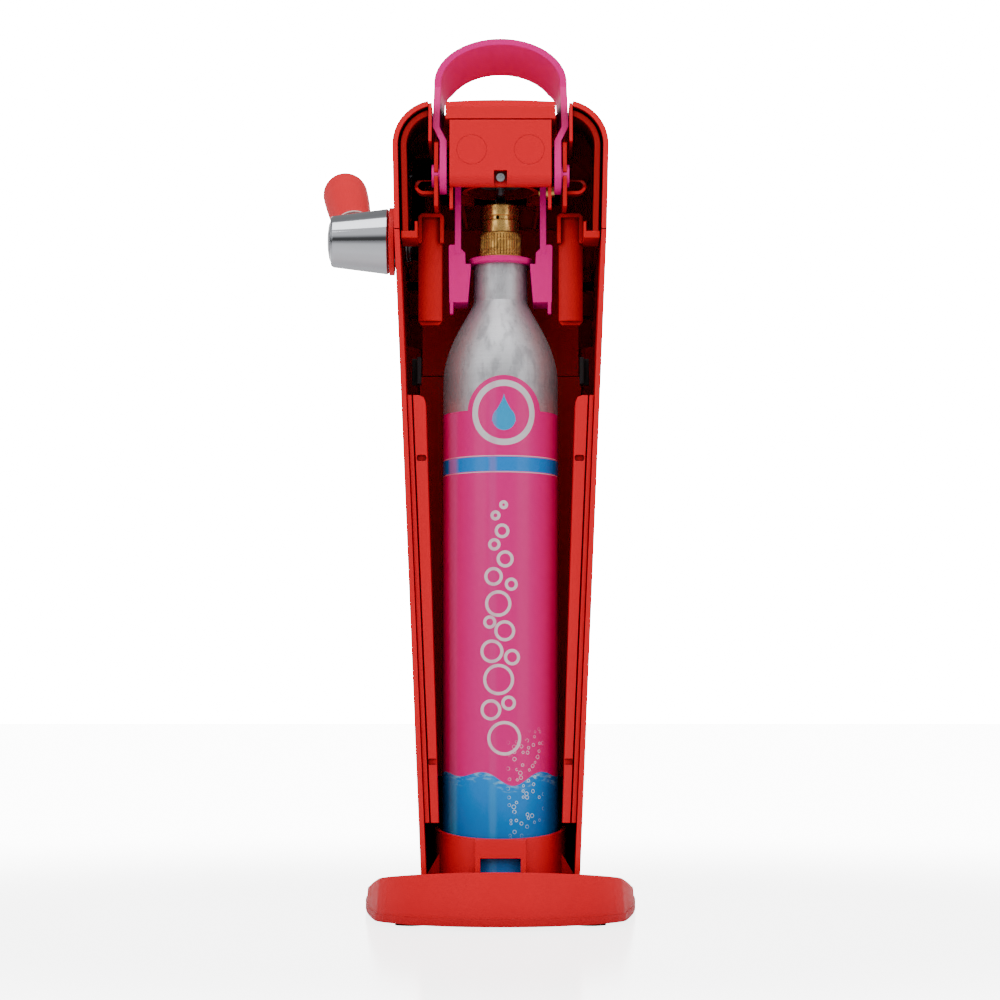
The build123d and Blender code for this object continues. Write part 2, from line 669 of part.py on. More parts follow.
def panel_screw():
    head = rod_y(2.2, 28.6, 30.4, 0, SCREW_Z) + rod_y(1.15, 24.5, 28.6, 0, SCREW_Z)
    head -= block(-1.6, 1.6, 29.8, 31, SCREW_Z - 0.3, SCREW_Z + 0.3)
    return head - block(-0.3, 0.3, 29.8, 31, SCREW_Z - 1.6, SCREW_Z + 1.6)


def pivot_bracket():
    """Wall that carries the handle's pivot, with a looped rib on its outer side."""
    x0, x1 = BRACKET_X, BRACKET_X + BRACKET_T
    wall = block(x0, x1, -44, 31, BRACKET_BOTTOM_Z, BRACKET_TOP_Z - 0.2)
    loop_outer = Pos(0, 22, PIVOT_Z - 4.6) * Rot(90, 0, 0) * extrude(SlotOverall(21.6, 9.8), amount=3, both=True)
    loop_inner = Pos(0, 22, PIVOT_Z - 4.6) * Rot(90, 0, 0) * extrude(SlotOverall(18.2, 6.4), amount=9, both=True)
    rib = Pos(x1 - 0.4, 0, 0) * ((loop_outer - loop_inner) & block(0, 20, 10, 30, BRACKET_BOTTOM_Z, BRACKET_TOP_Z - 4))
    bracket = wall + rib
    return bracket - rod_x(BOSS_R + SEAT_GAP, 20, 50, PIVOT_Y, PIVOT_Z)


def chassis():
    """Plate across the head that carries the seat, the brackets and the rocker."""
    z0, z1 = CHASSIS_Z, CHASSIS_Z + CHASSIS_T
    plate = block(-BRACKET_X, BRACKET_X, -72, -12, z0, z1)
    plate += block(-PANEL_HALF + 0.3, PANEL_HALF - 0.3, -12, 26, z0, z1)
    for side in (-1, 1):
        x0, x1 = sorted((side * (ROD_X - ROD_W / 2 - FIT), side * (ROD_X + ROD_W / 2 + FIT)))
        plate -= block(x0, x1, ROD_Y - 2.3, ROD_Y + 2.3, z0 - 1, z1 + 1)
        x2, x3 = sorted((side * 12.0, side * 15.0))
        ear = block(x2, x3, ROCKER_Y - 6, ROCKER_Y + 6, z1, ROCKER_Z + 6)
        plate += ear - rod_x(ROCKER_PIN_R, -40, 40, ROCKER_Y, ROCKER_Z)
        plate -= rod_z(1.6, z0 - 1, z1 + 1, side * 28, -30)
        plate -= rod_z(1.6, z0 - 1, z1 + 1, side * 28, -62)
    return plate - rod_z(PLUNGER_R + SEAT_GAP, z0 - 1, z1 + 1)


def chassis_screws():
    screws = []
    for x in (-28, 28):
        for y in (-30, -62):
            z = CHASSIS_Z + CHASSIS_T
            screw = rod_z(3, z, z + 2, x, y) + rod_z(1.55, z - 6, z, x, y)
            screws += screw.solids()
    return Compound(screws)


def rocker_pin():
    return rod_x(ROCKER_PIN_R, -16, 50, ROCKER_Y, ROCKER_Z)


def valve_seat():
    """Downward cup that the valve rises into, hung under the chassis by V ribs."""
    seat = ring_z(SEAT_R + SEAT_WALL, SEAT_R, SEAT_Z, SEAT_ROOF_Z)
    seat += rod_z(SEAT_R + SEAT_WALL, SEAT_ROOF_Z, CHASSIS_Z)
    for side in (-1, 1):
        high, low = SEAT_Z - 0.4, SEAT_Z - 15.9
        rib = [(side * 20.0, high), (side * 17.2, low), (side * 18.6, low), (side * 22.5, high)]
        seat += slab_y(rib, -24.0, -19.0)
        x0, x1 = sorted((side * 14.0, side * 22.5))
        seat += block(x0, x1, -24, -8, SEAT_Z - 3.4, SEAT_Z + 0.6) - rod_z(SEAT_R + 1, SEAT_Z - 10, SEAT_Z + 5)
    seat -= rod_z(PLUNGER_R + SEAT_GAP, SEAT_ROOF_Z - 1, CHASSIS_Z + 1)
    return seat - rod_y(HOSE_R, -30, -SEAT_R + 1, 0, HOSE_Z)


def seat_seal():
    return ring_z(12, 5, SEAT_ROOF_Z - 1.6, SEAT_ROOF_Z)


def relief_valve():
    """Brass safety valve screwed into the side of the seat."""
    start = SEAT_R + SEAT_WALL - 0.6
    body = rod_x(3.2, -start - 9, -start, 0, HOSE_Z) + rod_x(4.4, -start - 6, -start - 2, 0, HOSE_Z)
    return body - rod_z(SEAT_R + SEAT_WALL, SEAT_Z - 10, CHASSIS_Z)


def gas_hose():
    """Hose from the seat to the nozzle head, bent once."""
    start = (0, -SEAT_R - 0.2, HOSE_Z)
    path = FilletPolyline(start, (0, BOTTLE_Y, HOSE_Z), (0, BOTTLE_Y, NOZZLE_TOP_Z), radius=HOSE_BEND)
    section = Plane(origin=path @ 0, z_dir=path % 0) * (Circle(HOSE_R) - Circle(HOSE_R - 0.9))
    return sweep(section, path=path)


def nozzle_head():
    body = rod_z(NOZZLE_HEAD_R, NOZZLE_HEAD_Z, NOZZLE_TOP_Z - 6, y=BOTTLE_Y)
    body += rod_z(5, NOZZLE_TOP_Z - 6, NOZZLE_TOP_Z, y=BOTTLE_Y)
    z0 = NOZZLE_TOP_Z - 10
    reach = half_width(z0) - WALL - 0.1
    body += block(-reach, reach, -95, -85, z0, z0 + 4)
    return body - rod_z(1.5, NOZZLE_HEAD_Z - 1, NOZZLE_TOP_Z + 1, y=BOTTLE_Y)


def guide_panel():
    """Guide beside the carriage on the lever side: a bowed face under a raised hood."""
    x0, x1, low = GUIDE_IN_X, GUIDE_OUT_X, GUIDE_BOTTOM_Z
    body = slab_y(
        [
            (x0 + 1.5, low), (x1 - 1.5, low), (x1, low + 2),
            (x1, GUIDE_TOP_Z - 1), (x0, GUIDE_TOP_Z - 1), (x0, low + 2),
        ],
        6.0,
        9.0,
    )
    bow = rod_z(12.0, low, GUIDE_TOP_Z - 1, (x0 + x1) / 2, -1.0) & block(x0, x1, 7, 20, low + 2, GUIDE_TOP_Z)
    hood = slab_y(
        [
            (x0 - 0.8, GUIDE_TOP_Z - 15.7), (x1, GUIDE_TOP_Z - 15.7), (x1, GUIDE_TOP_Z - 1.6), (x1 - 1.6, GUIDE_TOP_Z),
            (x0 + 0.8, GUIDE_TOP_Z), (x0 - 0.8, GUIDE_TOP_Z - 1.6),
        ],
        6.0,
        13.0,
    )
    mouth = block(x0 + 1.2, x1 - 1.8, 8.0, 20, GUIDE_TOP_Z - 20, GUIDE_TOP_Z - 2.0)
    return body + bow + (hood - mouth)


def shelf_ribs():
    rib = block(43.2, 51.6, 6, 31, SHELF_TOP_Z - 3.6, SHELF_TOP_Z)
    rib += block(43.2, 44.6, 6, 31, SHELF_TOP_Z - 3.6, SHELF_TOP_Z + 5)
    return mirrored(rib)


# ---------------------------------------------------------------- locking handle and carriage
def bail_outline(shrink, narrow, drop, y):
    """Front view of the bail at one edge, closed below the arms, pulled in by shrink."""
    half = HANDLE_HALF - narrow - shrink
    arm = ARM_HALF - (ARM_T if shrink else 0)
    spring_z = HANDLE_TOP_Z - HANDLE_ARCH - drop
    arch = EllipticalCenterArc(
        (0, 0), half, HANDLE_ARCH - shrink * 0.9, start_angle=0, arc_size=180
    )
    arch = Pos(0, y, spring_z) * Rot(90, 0, 0) * arch
    knee_z, foot_z = PIVOT_Z + 18, PIVOT_Z - 27
    points = [(half, spring_z), (half - 0.2, knee_z + 8), (arm, knee_z), (arm, foot_z)]
    right = Polyline(*[(x, y, z) for x, z in points])
    left = Polyline(*[(-x, y, z) for x, z in points])
    floor = Line((arm, y, foot_z), (-arm, y, foot_z))
    return make_face(Curve() + [arch] + right.edges() + left.edges() + [floor])


def lock_handle():
    """U-shaped bail that leans its front edge down, with narrow arms and pivot bosses."""
    rear_y, front_y, above_z = HANDLE_REAR_Y, HANDLE_FRONT_Y, HANDLE_TOP_Z + 18
    reach_y = PIVOT_Y + 12
    rate = (reach_y - front_y) / (rear_y - front_y)

    def wedge(shrink):
        near = bail_outline(shrink, HANDLE_NARROW * (1 - rate), HANDLE_DROP * (1 - rate), reach_y)
        far = bail_outline(shrink, HANDLE_NARROW, HANDLE_DROP, front_y)
        return loft([near, far], ruled=True)

    band = wedge(0) - wedge(HANDLE_T)
    side = Curve() + [
        Line((0, rear_y, above_z), (0, rear_y, HANDLE_TOP_Z - 26)),
        Spline(
            (0, rear_y, HANDLE_TOP_Z - 26), (0, PIVOT_Y + 4.5, PIVOT_Z + 18), (0, PIVOT_Y + BOSS_R + 2, PIVOT_Z)
        ),
        ThreePointArc(
            (0, PIVOT_Y + BOSS_R + 2, PIVOT_Z),
            (0, PIVOT_Y, PIVOT_Z - BOSS_R - 3.5),
            (0, PIVOT_Y - BOSS_R - 2, PIVOT_Z),
        ),
        Spline((0, PIVOT_Y - BOSS_R - 2, PIVOT_Z), (0, 10, PIVOT_Z + 22), (0, front_y, HANDLE_TOP_Z - 24)),
        Line((0, front_y, HANDLE_TOP_Z - 24), (0, front_y, above_z)),
        Line((0, front_y, above_z), (0, rear_y, above_z)),
    ]
    profile = extrude(make_face(side), amount=60, both=True)
    handle = band & profile
    for sign in (-1, 1):
        x0, x1 = sorted((sign * (ARM_HALF - 1.0), sign * BOSS_END_X))
        handle += rod_x(BOSS_R, x0, x1, PIVOT_Y, PIVOT_Z)
    return handle


def yoke_rods():
    rod = block(
        ROD_X - ROD_W / 2, ROD_X + ROD_W / 2, ROD_Y - 2, ROD_Y + 2, HOOK_TOP_Z - 5, ROD_TOP_Z
    )
    return mirrored(rod)


def yoke_bridge():
    half = ROD_X - ROD_W / 2
    bridge = block(-half, half, ROD_Y - 2, ROD_Y + 2, ROD_TOP_Z - 5, ROD_TOP_Z)
    return bridge


def yoke_hook():
    """Hook block on the lever side: a shelf under the neck ring and a wall beside it."""
    points = [
        (HOOK_SHELF_X + 1.5, HOOK_Z),
        (HOOK_OUT_X - 0.4, HOOK_Z),
        (HOOK_OUT_X, HOOK_TOP_Z - 0.8),
        (HOOK_OUT_X - 0.8, HOOK_TOP_Z),
        (21.4, HOOK_TOP_Z),
        (20.6, HOOK_TOP_Z - 2.4),
        (18.6, HOOK_TOP_Z - 4.2),
        (RING_R + 0.6, RING_Z - 0.4),
        (HOOK_SHELF_X, RING_Z - 0.4),
        (HOOK_SHELF_X, RING_Z - 3),
    ]
    hook = slab_y(points, -9, 12)
    hook += block(24.8, 26.6, 8, 12, HOOK_Z - 6.1, HOOK_Z + 1)
    rod_slot = block(
        ROD_X - ROD_W / 2, ROD_X + ROD_W / 2, ROD_Y - 2, ROD_Y + 2, HOOK_TOP_Z - 5, ROD_TOP_Z
    )
    return hook - rod_slot


# ---------------------------------------------------------------- gas cylinder
def shoulder_points(shrink):
    """Sloping shoulder that runs out into the neck, as (r, z)."""
    points = []
    steps = 18
    for step in range(steps + 1):
        rise = step / steps
        share = (1 - rise * rise) ** SHOULDER_SHAPE
        points.append((NECK_R - shrink + (CYL_R - NECK_R) * share, SHOULDER_Z + (NECK_Z - SHOULDER_Z) * rise))
    return points


def cylinder_body():
    bottom = CYL_BOTTOM_Z
    heel = 8.0
    outside = [(0, bottom + 3), (CYL_R - heel - 2, bottom), (CYL_R - heel, bottom)]
    for step in range(1, 7):
        angle = math.radians(90.0 * step / 6)
        outside.append(
            (CYL_R - heel + heel * math.sin(angle), bottom + heel - heel * math.cos(angle))
        )
    outside += shoulder_points(0) + [(NECK_R, RING_Z), (NECK_R - 3, RING_Z), (NECK_R - 3, RING_Z + 2)]
    bore = 7.0
    inside = [(bore, RING_Z + 2), (bore, NECK_Z - 2)]
    inside += [(r - CYL_WALL, z - CYL_WALL) for r, z in reversed(shoulder_points(1.5))]
    inside += [(CYL_R - CYL_WALL, bottom + 14), (CYL_R - CYL_WALL - 8, bottom + 7), (0, bottom + 7)]
    return turned(outside + inside)


def label_sleeve():
    """Printed sleeve with a round badge that rises above its upper edge."""
    tube = ring_z(CYL_R + SLEEVE_T, CYL_R, SLEEVE_BOTTOM_Z, SLEEVE_TOP_Z + EMBLEM_R + 5)
    badge = rod_y(EMBLEM_R, 0, 40, -1.8, SLEEVE_TOP_Z - 0.8)
    wrap = block(-40, 40, -40, 40, SLEEVE_BOTTOM_Z, SLEEVE_TOP_Z)
    return tube & (wrap + badge)


def neck_ring():
    rim = turned(
        [
            (NECK_R, RING_Z), (RING_R - 0.6, RING_Z), (RING_R, RING_Z + 0.6),
            (RING_R, RING_Z + RING_T - 0.8), (RING_R - 0.8, RING_Z + RING_T),
            (NECK_R - 3, RING_Z + RING_T), (NECK_R - 3, RING_Z + 2), (NECK_R - 3, RING_Z),
        ]
    )
    return rim


def valve_collar():
    """Knurled lower part of the valve."""
    z0 = RING_Z + RING_T
    collar = turned(
        [
            (0, z0), (KNURL_R - 0.6, z0), (KNURL_R, z0 + 0.6), (KNURL_R, z0 + KNURL_T - 0.6),
            (KNURL_R - 0.6, z0 + KNURL_T), (0, z0 + KNURL_T),
        ]
    )
    stem = rod_z(6.9, z0 - 12, z0)
    grooves = Compound(
        [
            (Rot(0, 0, 360.0 * n / 40) * Pos(KNURL_R + 0.35, 0, z0 + KNURL_T / 2)
             * Rot(0, 0, 45) * Box(1, 1, KNURL_T - 3)).solid()
            for n in range(40)
        ]
    )
    return (collar + stem - grooves) - rod_z(PIN_R + 0.05, z0 - 13, z0 + KNURL_T + 1)


def valve_body():
    """Smooth upper part of the valve, with a groove and an open socket on top."""
    z0 = RING_Z + RING_T + KNURL_T
    top = VALVE_TOP_Z
    body = turned(
        [
            (0, z0), (VALVE_R, z0), (VALVE_R, z0 + 6.2), (VALVE_R - 0.7, z0 + 6.8),
            (VALVE_R - 0.7, z0 + 8.4), (VALVE_R, z0 + 9.0), (VALVE_R, top - 0.8),
            (VALVE_R - 0.8, top), (0, top),
        ]
    )
    body -= rod_z(3.2, top - 4, top + 1)
    body -= rod_z(PIN_R + 0.05, z0 - 1, top)
    return body - rod_y(0.9, 5, 20, 1.5, z0 + 7.6)


def valve_pin():
    return rod_z(PIN_R, RING_Z + RING_T - 2, VALVE_TOP_Z - 3.0)


# ---------------------------------------------------------------- lever, rocker, plunger
def lever_bush():
    """Red flanged bush that the lever's shaft turns in."""
    bush = rod_x(BUSH_R, 48.6, FLANGE_X, LEVER_Y, LEVER_Z)
    bush += rod_x(FLANGE_R, FLANGE_X, HUB_IN_X - FIT, LEVER_Y, LEVER_Z)
    return bush - rod_x(SHAFT_R + SEAT_GAP, 30, 80, LEVER_Y, LEVER_Z)


def lever_shaft():
    return rod_x(SHAFT_R, CAM_X - CAM_W / 2 - 1, HUB_OUT_X - 8, LEVER_Y, LEVER_Z)


def lever_hub():
    """Chrome cone with a domed outer end, bored for the shaft and the grip's root."""
    bulge = 3.2
    points = [
        (SHAFT_R, HUB_IN_X), (HUB_IN_R - 0.8, HUB_IN_X), (HUB_IN_R, HUB_IN_X + 0.9),
        (HUB_OUT_R, HUB_OUT_X - bulge), (HUB_OUT_R - 0.9, HUB_OUT_X - bulge + 1.2),
        (11.2, HUB_OUT_X - bulge + 1.6), (11.2, HUB_OUT_X - 8), (SHAFT_R, HUB_OUT_X - 8),
    ]
    hub = turned(points)
    hub = Pos(0, LEVER_Y, LEVER_Z) * Rot(0, 90, 0) * hub
    return hub - grip_solid(0.0)


def hub_cap():
    bulge = 3.2
    points = [
        (0, HUB_OUT_X - 7.9), (11.1, HUB_OUT_X - 7.9), (11.1, HUB_OUT_X - bulge + 1.6),
        (9.6, HUB_OUT_X - 0.9), (5.0, HUB_OUT_X - 0.15), (0, HUB_OUT_X),
    ]
    cap = Pos(0, LEVER_Y, LEVER_Z) * Rot(0, 90, 0) * turned(points)
    return cap - grip_solid(0.0)


def grip_frame():
    """Root point, ball centre and direction of the grip."""
    rise = math.radians(GRIP_RISE)
    tip = Vector(
        GRIP_END_X, LEVER_Y - GRIP_REACH * math.cos(rise), LEVER_Z + GRIP_REACH * math.sin(rise)
    )
    root = Vector(GRIP_ROOT_X - 3.2, LEVER_Y, LEVER_Z)
    return root, tip, (tip - root).normalized()


def grip_solid(start):
    """Club shape from the hub to a round end, turned about the grip's own line."""
    root, tip, direction = grip_frame()
    length = (tip - root).length
    first = 10.5 + start
    points = [(0, first), (GRIP_ROOT_R, first)]
    for step in range(1, 9):
        share = step / 8
        swell = share * share * (3 - 2 * share)
        radius = GRIP_ROOT_R + (GRIP_END_R - GRIP_ROOT_R) * swell
        points.append((radius, first + (length - first) * share))
    for step in range(1, 10):
        angle = math.radians(10.0 * step)
        points.append((GRIP_END_R * math.cos(angle), length + GRIP_END_R * math.sin(angle)))
    body = turned(points[:-1] + [(0, length + GRIP_END_R)])
    return Plane(origin=root, z_dir=direction) * body


def lever_grip():
    return grip_solid(0.0)


def grip_collar():
    """Thin light collar where the grip leaves the hub."""
    root, _, direction = grip_frame()
    ring = ring_z(GRIP_ROOT_R + 1.2, GRIP_ROOT_R + 0.1, 16.6, 18.4)
    return (Plane(origin=root, z_dir=direction) * ring) - lever_hub() - lever_grip()


def lever_cam():
    x0, x1 = CAM_X - CAM_W / 2, CAM_X + CAM_W / 2
    disc = rod_x(CAM_R, x0, x1, LEVER_Y, LEVER_Z + CAM_OFFSET)
    return disc - rod_x(SHAFT_R, 30, 80, LEVER_Y, LEVER_Z)


def lever_spring():
    """Return spring, two coils round the inner end of the bush."""
    coil = Helix(pitch=1.6, height=2.2, radius=BUSH_R + 1.2)
    wire = Pos(48.9, LEVER_Y, LEVER_Z) * Rot(0, 90, 0) * coil
    section = Plane(origin=wire @ 0, z_dir=wire % 0) * Circle(0.7)
    return sweep(section, path=wire, is_frenet=True)


def rocker():
    """Bell crank: a foot in front of the cam, a long arm over the plunger."""
    x0, x1 = CAM_X - CAM_W / 2 - 0.5, CAM_X + CAM_W / 2 + 0.5
    face_y = LEVER_Y - CAM_R - 0.6
    hub = rod_x(5.5, -11.5, 11.5, ROCKER_Y, ROCKER_Z)
    arm = slab_x(
        [
            (ROCKER_Y, ROCKER_Z - 3), (-8, ROCKER_Z - 1), (6, PLUNGER_TOP_Z + 2 * FIT),
            (6, ROCKER_Z + 3), (ROCKER_Y, ROCKER_Z + 4.5),
        ],
        -4,
        4,
    )
    side_hub = rod_x(5.5, 15.8, x1, ROCKER_Y, ROCKER_Z)
    foot = slab_x(
        [
            (ROCKER_Y - 4, ROCKER_Z), (ROCKER_Y + 5, ROCKER_Z), (face_y, LEVER_Z + 13), (face_y, LEVER_Z - 8),
            (face_y - 3.5, LEVER_Z - 8), (face_y - 3.5, LEVER_Z + 11),
        ],
        x0,
        x1,
    )
    tie = block(-11.5, x1, ROCKER_Y - 4, ROCKER_Y + 4, ROCKER_Z + 6.6, ROCKER_Z + 9.2)
    posts = block(-4, 4, ROCKER_Y - 3, ROCKER_Y + 3, ROCKER_Z, ROCKER_Z + 8)
    posts += block(36, 42, ROCKER_Y - 3, ROCKER_Y + 3, ROCKER_Z, ROCKER_Z + 8)
    body = hub + arm + side_hub + foot + tie + posts
    return body - rod_x(ROCKER_PIN_R + SEAT_GAP, -40, 60, ROCKER_Y, ROCKER_Z)


def plunger():
    body = rod_z(PLUNGER_R, SEAT_ROOF_Z + 0.2, PLUNGER_TOP_Z)
    body += rod_z(7, PLUNGER_TOP_Z - 2.5, PLUNGER_TOP_Z)
    return body + rod_z(PLUNGER_NOSE_R, PLUNGER_NOSE_Z, SEAT_ROOF_Z + 1)


def plunger_spring():
    """Return spring under the plunger's head."""
    z0 = CHASSIS_Z + CHASSIS_T
    height = PLUNGER_TOP_Z - 2.5 - z0
    coil = Helix(pitch=1.7, height=height - 1.0, radius=5.4)
    wire = Pos(0, 0, z0 + 0.5) * coil
    section = Plane(origin=wire @ 0, z_dir=wire % 0) * Circle(0.42)
    return sweep(section, path=wire, is_frenet=True)


# ---------------------------------------------------------------- bottle collar
def bottle_collar():
    """Ring that grips the bottle's neck and tips forward for loading."""
    outer = turned(
        [
            (COLLAR_BORE_R, COLLAR_Z), (COLLAR_R - 2, COLLAR_Z), (COLLAR_R, COLLAR_Z + 2),
            (COLLAR_R, COLLAR_TOP_Z), (COLLAR_BORE_R, COLLAR_TOP_Z),
        ]
    )
    flare = turned([(COLLAR_BORE_R, COLLAR_Z - 1), (21, COLLAR_Z - 1), (COLLAR_BORE_R, COLLAR_Z + 8)])
    collar = Pos(0, BOTTLE_Y, 0) * (outer - flare)
    for side in (-1, 1):
        x0, x1 = sorted((side * (COLLAR_R - 3.5), side * COLLAR_R))
        collar += block(x0, x1, BOTTLE_Y - 6, BOTTLE_Y + 6, COLLAR_TOP_Z - 4, COLLAR_PIVOT_Z + 5)
    return collar - rod_x(2.5, -60, 60, BOTTLE_Y, COLLAR_PIVOT_Z)


def collar_pins():
    pin = rod_x(2.5, COLLAR_R - 3.5, COLLAR_R + 8, BOTTLE_Y, COLLAR_PIVOT_Z)
    return mirrored(pin)


def nozzle_seal():
    return ring_z(COLLAR_BORE_R, NOZZLE_R, COLLAR_TOP_Z - 8, COLLAR_TOP_Z - 3, y=BOTTLE_Y)


def nozzle_tube():
    tube = ring_z(NOZZLE_R, 1.6, NOZZLE_END_Z, COLLAR_TOP_Z - 1, y=BOTTLE_Y)
    tip = turned([(1.6, NOZZLE_END_Z - 1), (6, NOZZLE_END_Z - 1), (2.9, NOZZLE_END_Z + 7), (1.6, NOZZLE_END_Z + 9)])
    return tube - (Pos(0, BOTTLE_Y, 0) * (tip - rod_z(2.9, NOZZLE_END_Z - 2, NOZZLE_END_Z + 12)))


# ---------------------------------------------------------------- build everything
UPRIGHT = {
    "foot_shell": foot_shell,
    "foot_plate": foot_plate,
    "foot_screws": foot_screws,
    "rubber_feet": rubber_feet,
    "drip_tray": drip_tray,
    "drip_grille": drip_grille,
}
LEANED = {
    "column_shell": column_shell,
    "spine_lower": spine_lower,
    "spine_upper": spine_upper,
    "cylinder_cup": cylinder_cup,
    "cover_clips": cover_clips,
    "head_shell": head_shell,
    "head_liner": head_liner,
    "head_cap": head_cap,
    "rear_panel": rear_panel,
    "panel_screw": panel_screw,
    "chassis": chassis,
    "chassis_screws": chassis_screws,
    "rocker_pin": rocker_pin,
    "valve_seat": valve_seat,
    "seat_seal": seat_seal,
    "relief_valve": relief_valve,
    "gas_hose": gas_hose,
    "nozzle_head": nozzle_head,
    "shelf_ribs": shelf_ribs,
    "lock_handle": lock_handle,
    "yoke_rods": yoke_rods,
    "yoke_bridge": yoke_bridge,
    "cylinder_body": cylinder_body,
    "label_sleeve": label_sleeve,
    "neck_ring": neck_ring,
    "valve_collar": valve_collar,
    "valve_body": valve_body,
    "valve_pin": valve_pin,
    "lever_bush": lever_bush,
    "lever_shaft": lever_shaft,
    "lever_hub": lever_hub,
    "hub_cap": hub_cap,
    "lever_grip": lever_grip,
    "grip_collar": grip_collar,
    "lever_cam": lever_cam,
    "lever_spring": lever_spring,
    "rocker": rocker,
    "plunger": plunger,
    "plunger_spring": plunger_spring,
    "bottle_collar": bottle_collar,
    "collar_pins": collar_pins,
    "nozzle_seal": nozzle_seal,
    "nozzle_tube": nozzle_tube,
}
PAIRED = {
    "rail": rail,
    "rail_trim": rail_trim,
    "pivot_bracket": pivot_bracket,
    "guide_panel": guide_panel,
    "yoke_hook": yoke_hook,
}


def write(name, shape):
    export_step(shape, f"parts/{name}.step")


os.makedirs("parts", exist_ok=True)
for name, make in UPRIGHT.items():
    write(name, make())
for name, make in LEANED.items():
    write(name, leaned(make()))
for name, make in PAIRED.items():
    shape = make()
    write(f"{name}_lever_side", leaned(shape))
    write(f"{name}_far_side", leaned(mirror(shape, about=Plane.YZ)))
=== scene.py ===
"""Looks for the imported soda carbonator: finishes, small fittings, floor, lights and camera."""

import logging
import math
from dataclasses import dataclass, field
from enum import Enum

import bpy
from mathutils import Matrix, Vector


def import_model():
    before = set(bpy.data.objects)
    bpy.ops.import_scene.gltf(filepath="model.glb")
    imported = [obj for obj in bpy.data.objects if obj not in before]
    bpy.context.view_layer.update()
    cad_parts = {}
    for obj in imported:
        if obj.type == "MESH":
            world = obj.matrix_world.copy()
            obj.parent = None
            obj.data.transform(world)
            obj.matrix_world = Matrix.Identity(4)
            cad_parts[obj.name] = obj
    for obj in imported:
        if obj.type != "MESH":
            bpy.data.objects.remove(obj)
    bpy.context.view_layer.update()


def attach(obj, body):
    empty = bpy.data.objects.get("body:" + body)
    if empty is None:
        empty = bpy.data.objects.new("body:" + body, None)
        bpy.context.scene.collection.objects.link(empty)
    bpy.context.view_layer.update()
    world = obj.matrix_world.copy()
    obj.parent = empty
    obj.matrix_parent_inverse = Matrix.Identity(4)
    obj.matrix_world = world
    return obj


LOG = logging.getLogger("carbonator")
MM = 0.001                         # metres in a millimetre
LEAN = math.radians(2.4)           # the column leans this far towards the bottle side


# ---------------------------------------------------------------- colour and nodes
def linear(code: str) -> tuple:
    """Converts an sRGB hex colour to linear RGBA.

    Args:
        code: six hex digits with a leading hash.

    Returns:
        Four floats, alpha 1.
    """
    parts = [int(code[i : i + 2], 16) / 255 for i in (1, 3, 5)]
    return tuple(p / 12.92 if p <= 0.04045 else ((p + 0.055) / 1.055) ** 2.4 for p in parts) + (1.0,)


def add_node(
    tree: bpy.types.NodeTree, kind: str, settings: dict | None = None, inputs: dict | None = None
) -> bpy.types.Node:
    """Adds one shader node, sets its properties and fills or links its inputs.

    Args:
        tree: node tree that gets the node.
        kind: the node's type name.
        settings: property name to value.
        inputs: input name or index to a constant, a socket or a Signal.

    Returns:
        The new node.
    """
    node = tree.nodes.new(kind)
    for name, value in (settings or {}).items():
        setattr(node, name, value)
    for name, value in (inputs or {}).items():
        source = value.socket if isinstance(value, Signal) else value
        if isinstance(source, bpy.types.NodeSocket):
            tree.links.new(source, node.inputs[name])
        else:
            node.inputs[name].default_value = source
    return node


class Signal:
    """A number socket with arithmetic, so that a pattern reads like its formula."""

    def __init__(self, tree: bpy.types.NodeTree, socket: bpy.types.NodeSocket) -> None:
        """Keeps the socket and the tree that it is in."""
        self.tree = tree
        self.socket = socket

    def op(self, operation: str, *others: "Signal | float") -> "Signal":
        """Passes the signal through one math node.

        Args:
            operation: name of the math operation.
            others: the operands after this one.

        Returns:
            The result.
        """
        inputs = {0: self, **{index + 1: other for index, other in enumerate(others)}}
        node = add_node(self.tree, "ShaderNodeMath", {"operation": operation}, inputs)
        return Signal(self.tree, node.outputs[0])

    def __add__(self, other: "Signal | float") -> "Signal":
        """Returns the sum."""
        return self.op("ADD", other)

    def __sub__(self, other: "Signal | float") -> "Signal":
        """Returns the difference."""
        return self.op("SUBTRACT", other)

    def __mul__(self, other: "Signal | float") -> "Signal":
        """Returns the product."""
        return self.op("MULTIPLY", other)

    def inverse(self) -> "Signal":
        """Returns 1 minus the signal."""
        return self * -1.0 + 1.0

    def step(self, low: float, high: float) -> "Signal":
        """Makes a smooth step, which falls instead of rising where low is the larger.

        Args:
            low: value that gives 0.
            high: value that gives 1.

        Returns:
            The step, from 0 to 1.
        """
        node = add_node(
            self.tree,
            "ShaderNodeMapRange",
            {"interpolation_type": "SMOOTHSTEP"},
            {"Value": self, "From Min": low, "From Max": high},
        )
        return Signal(self.tree, node.outputs["Result"])

    def near(self, centre: float, half: float, soft: float) -> "Signal":
        """Returns 1 within half of centre, falling to 0 over soft."""
        return (self - centre).op("ABSOLUTE").step(half + soft, half)


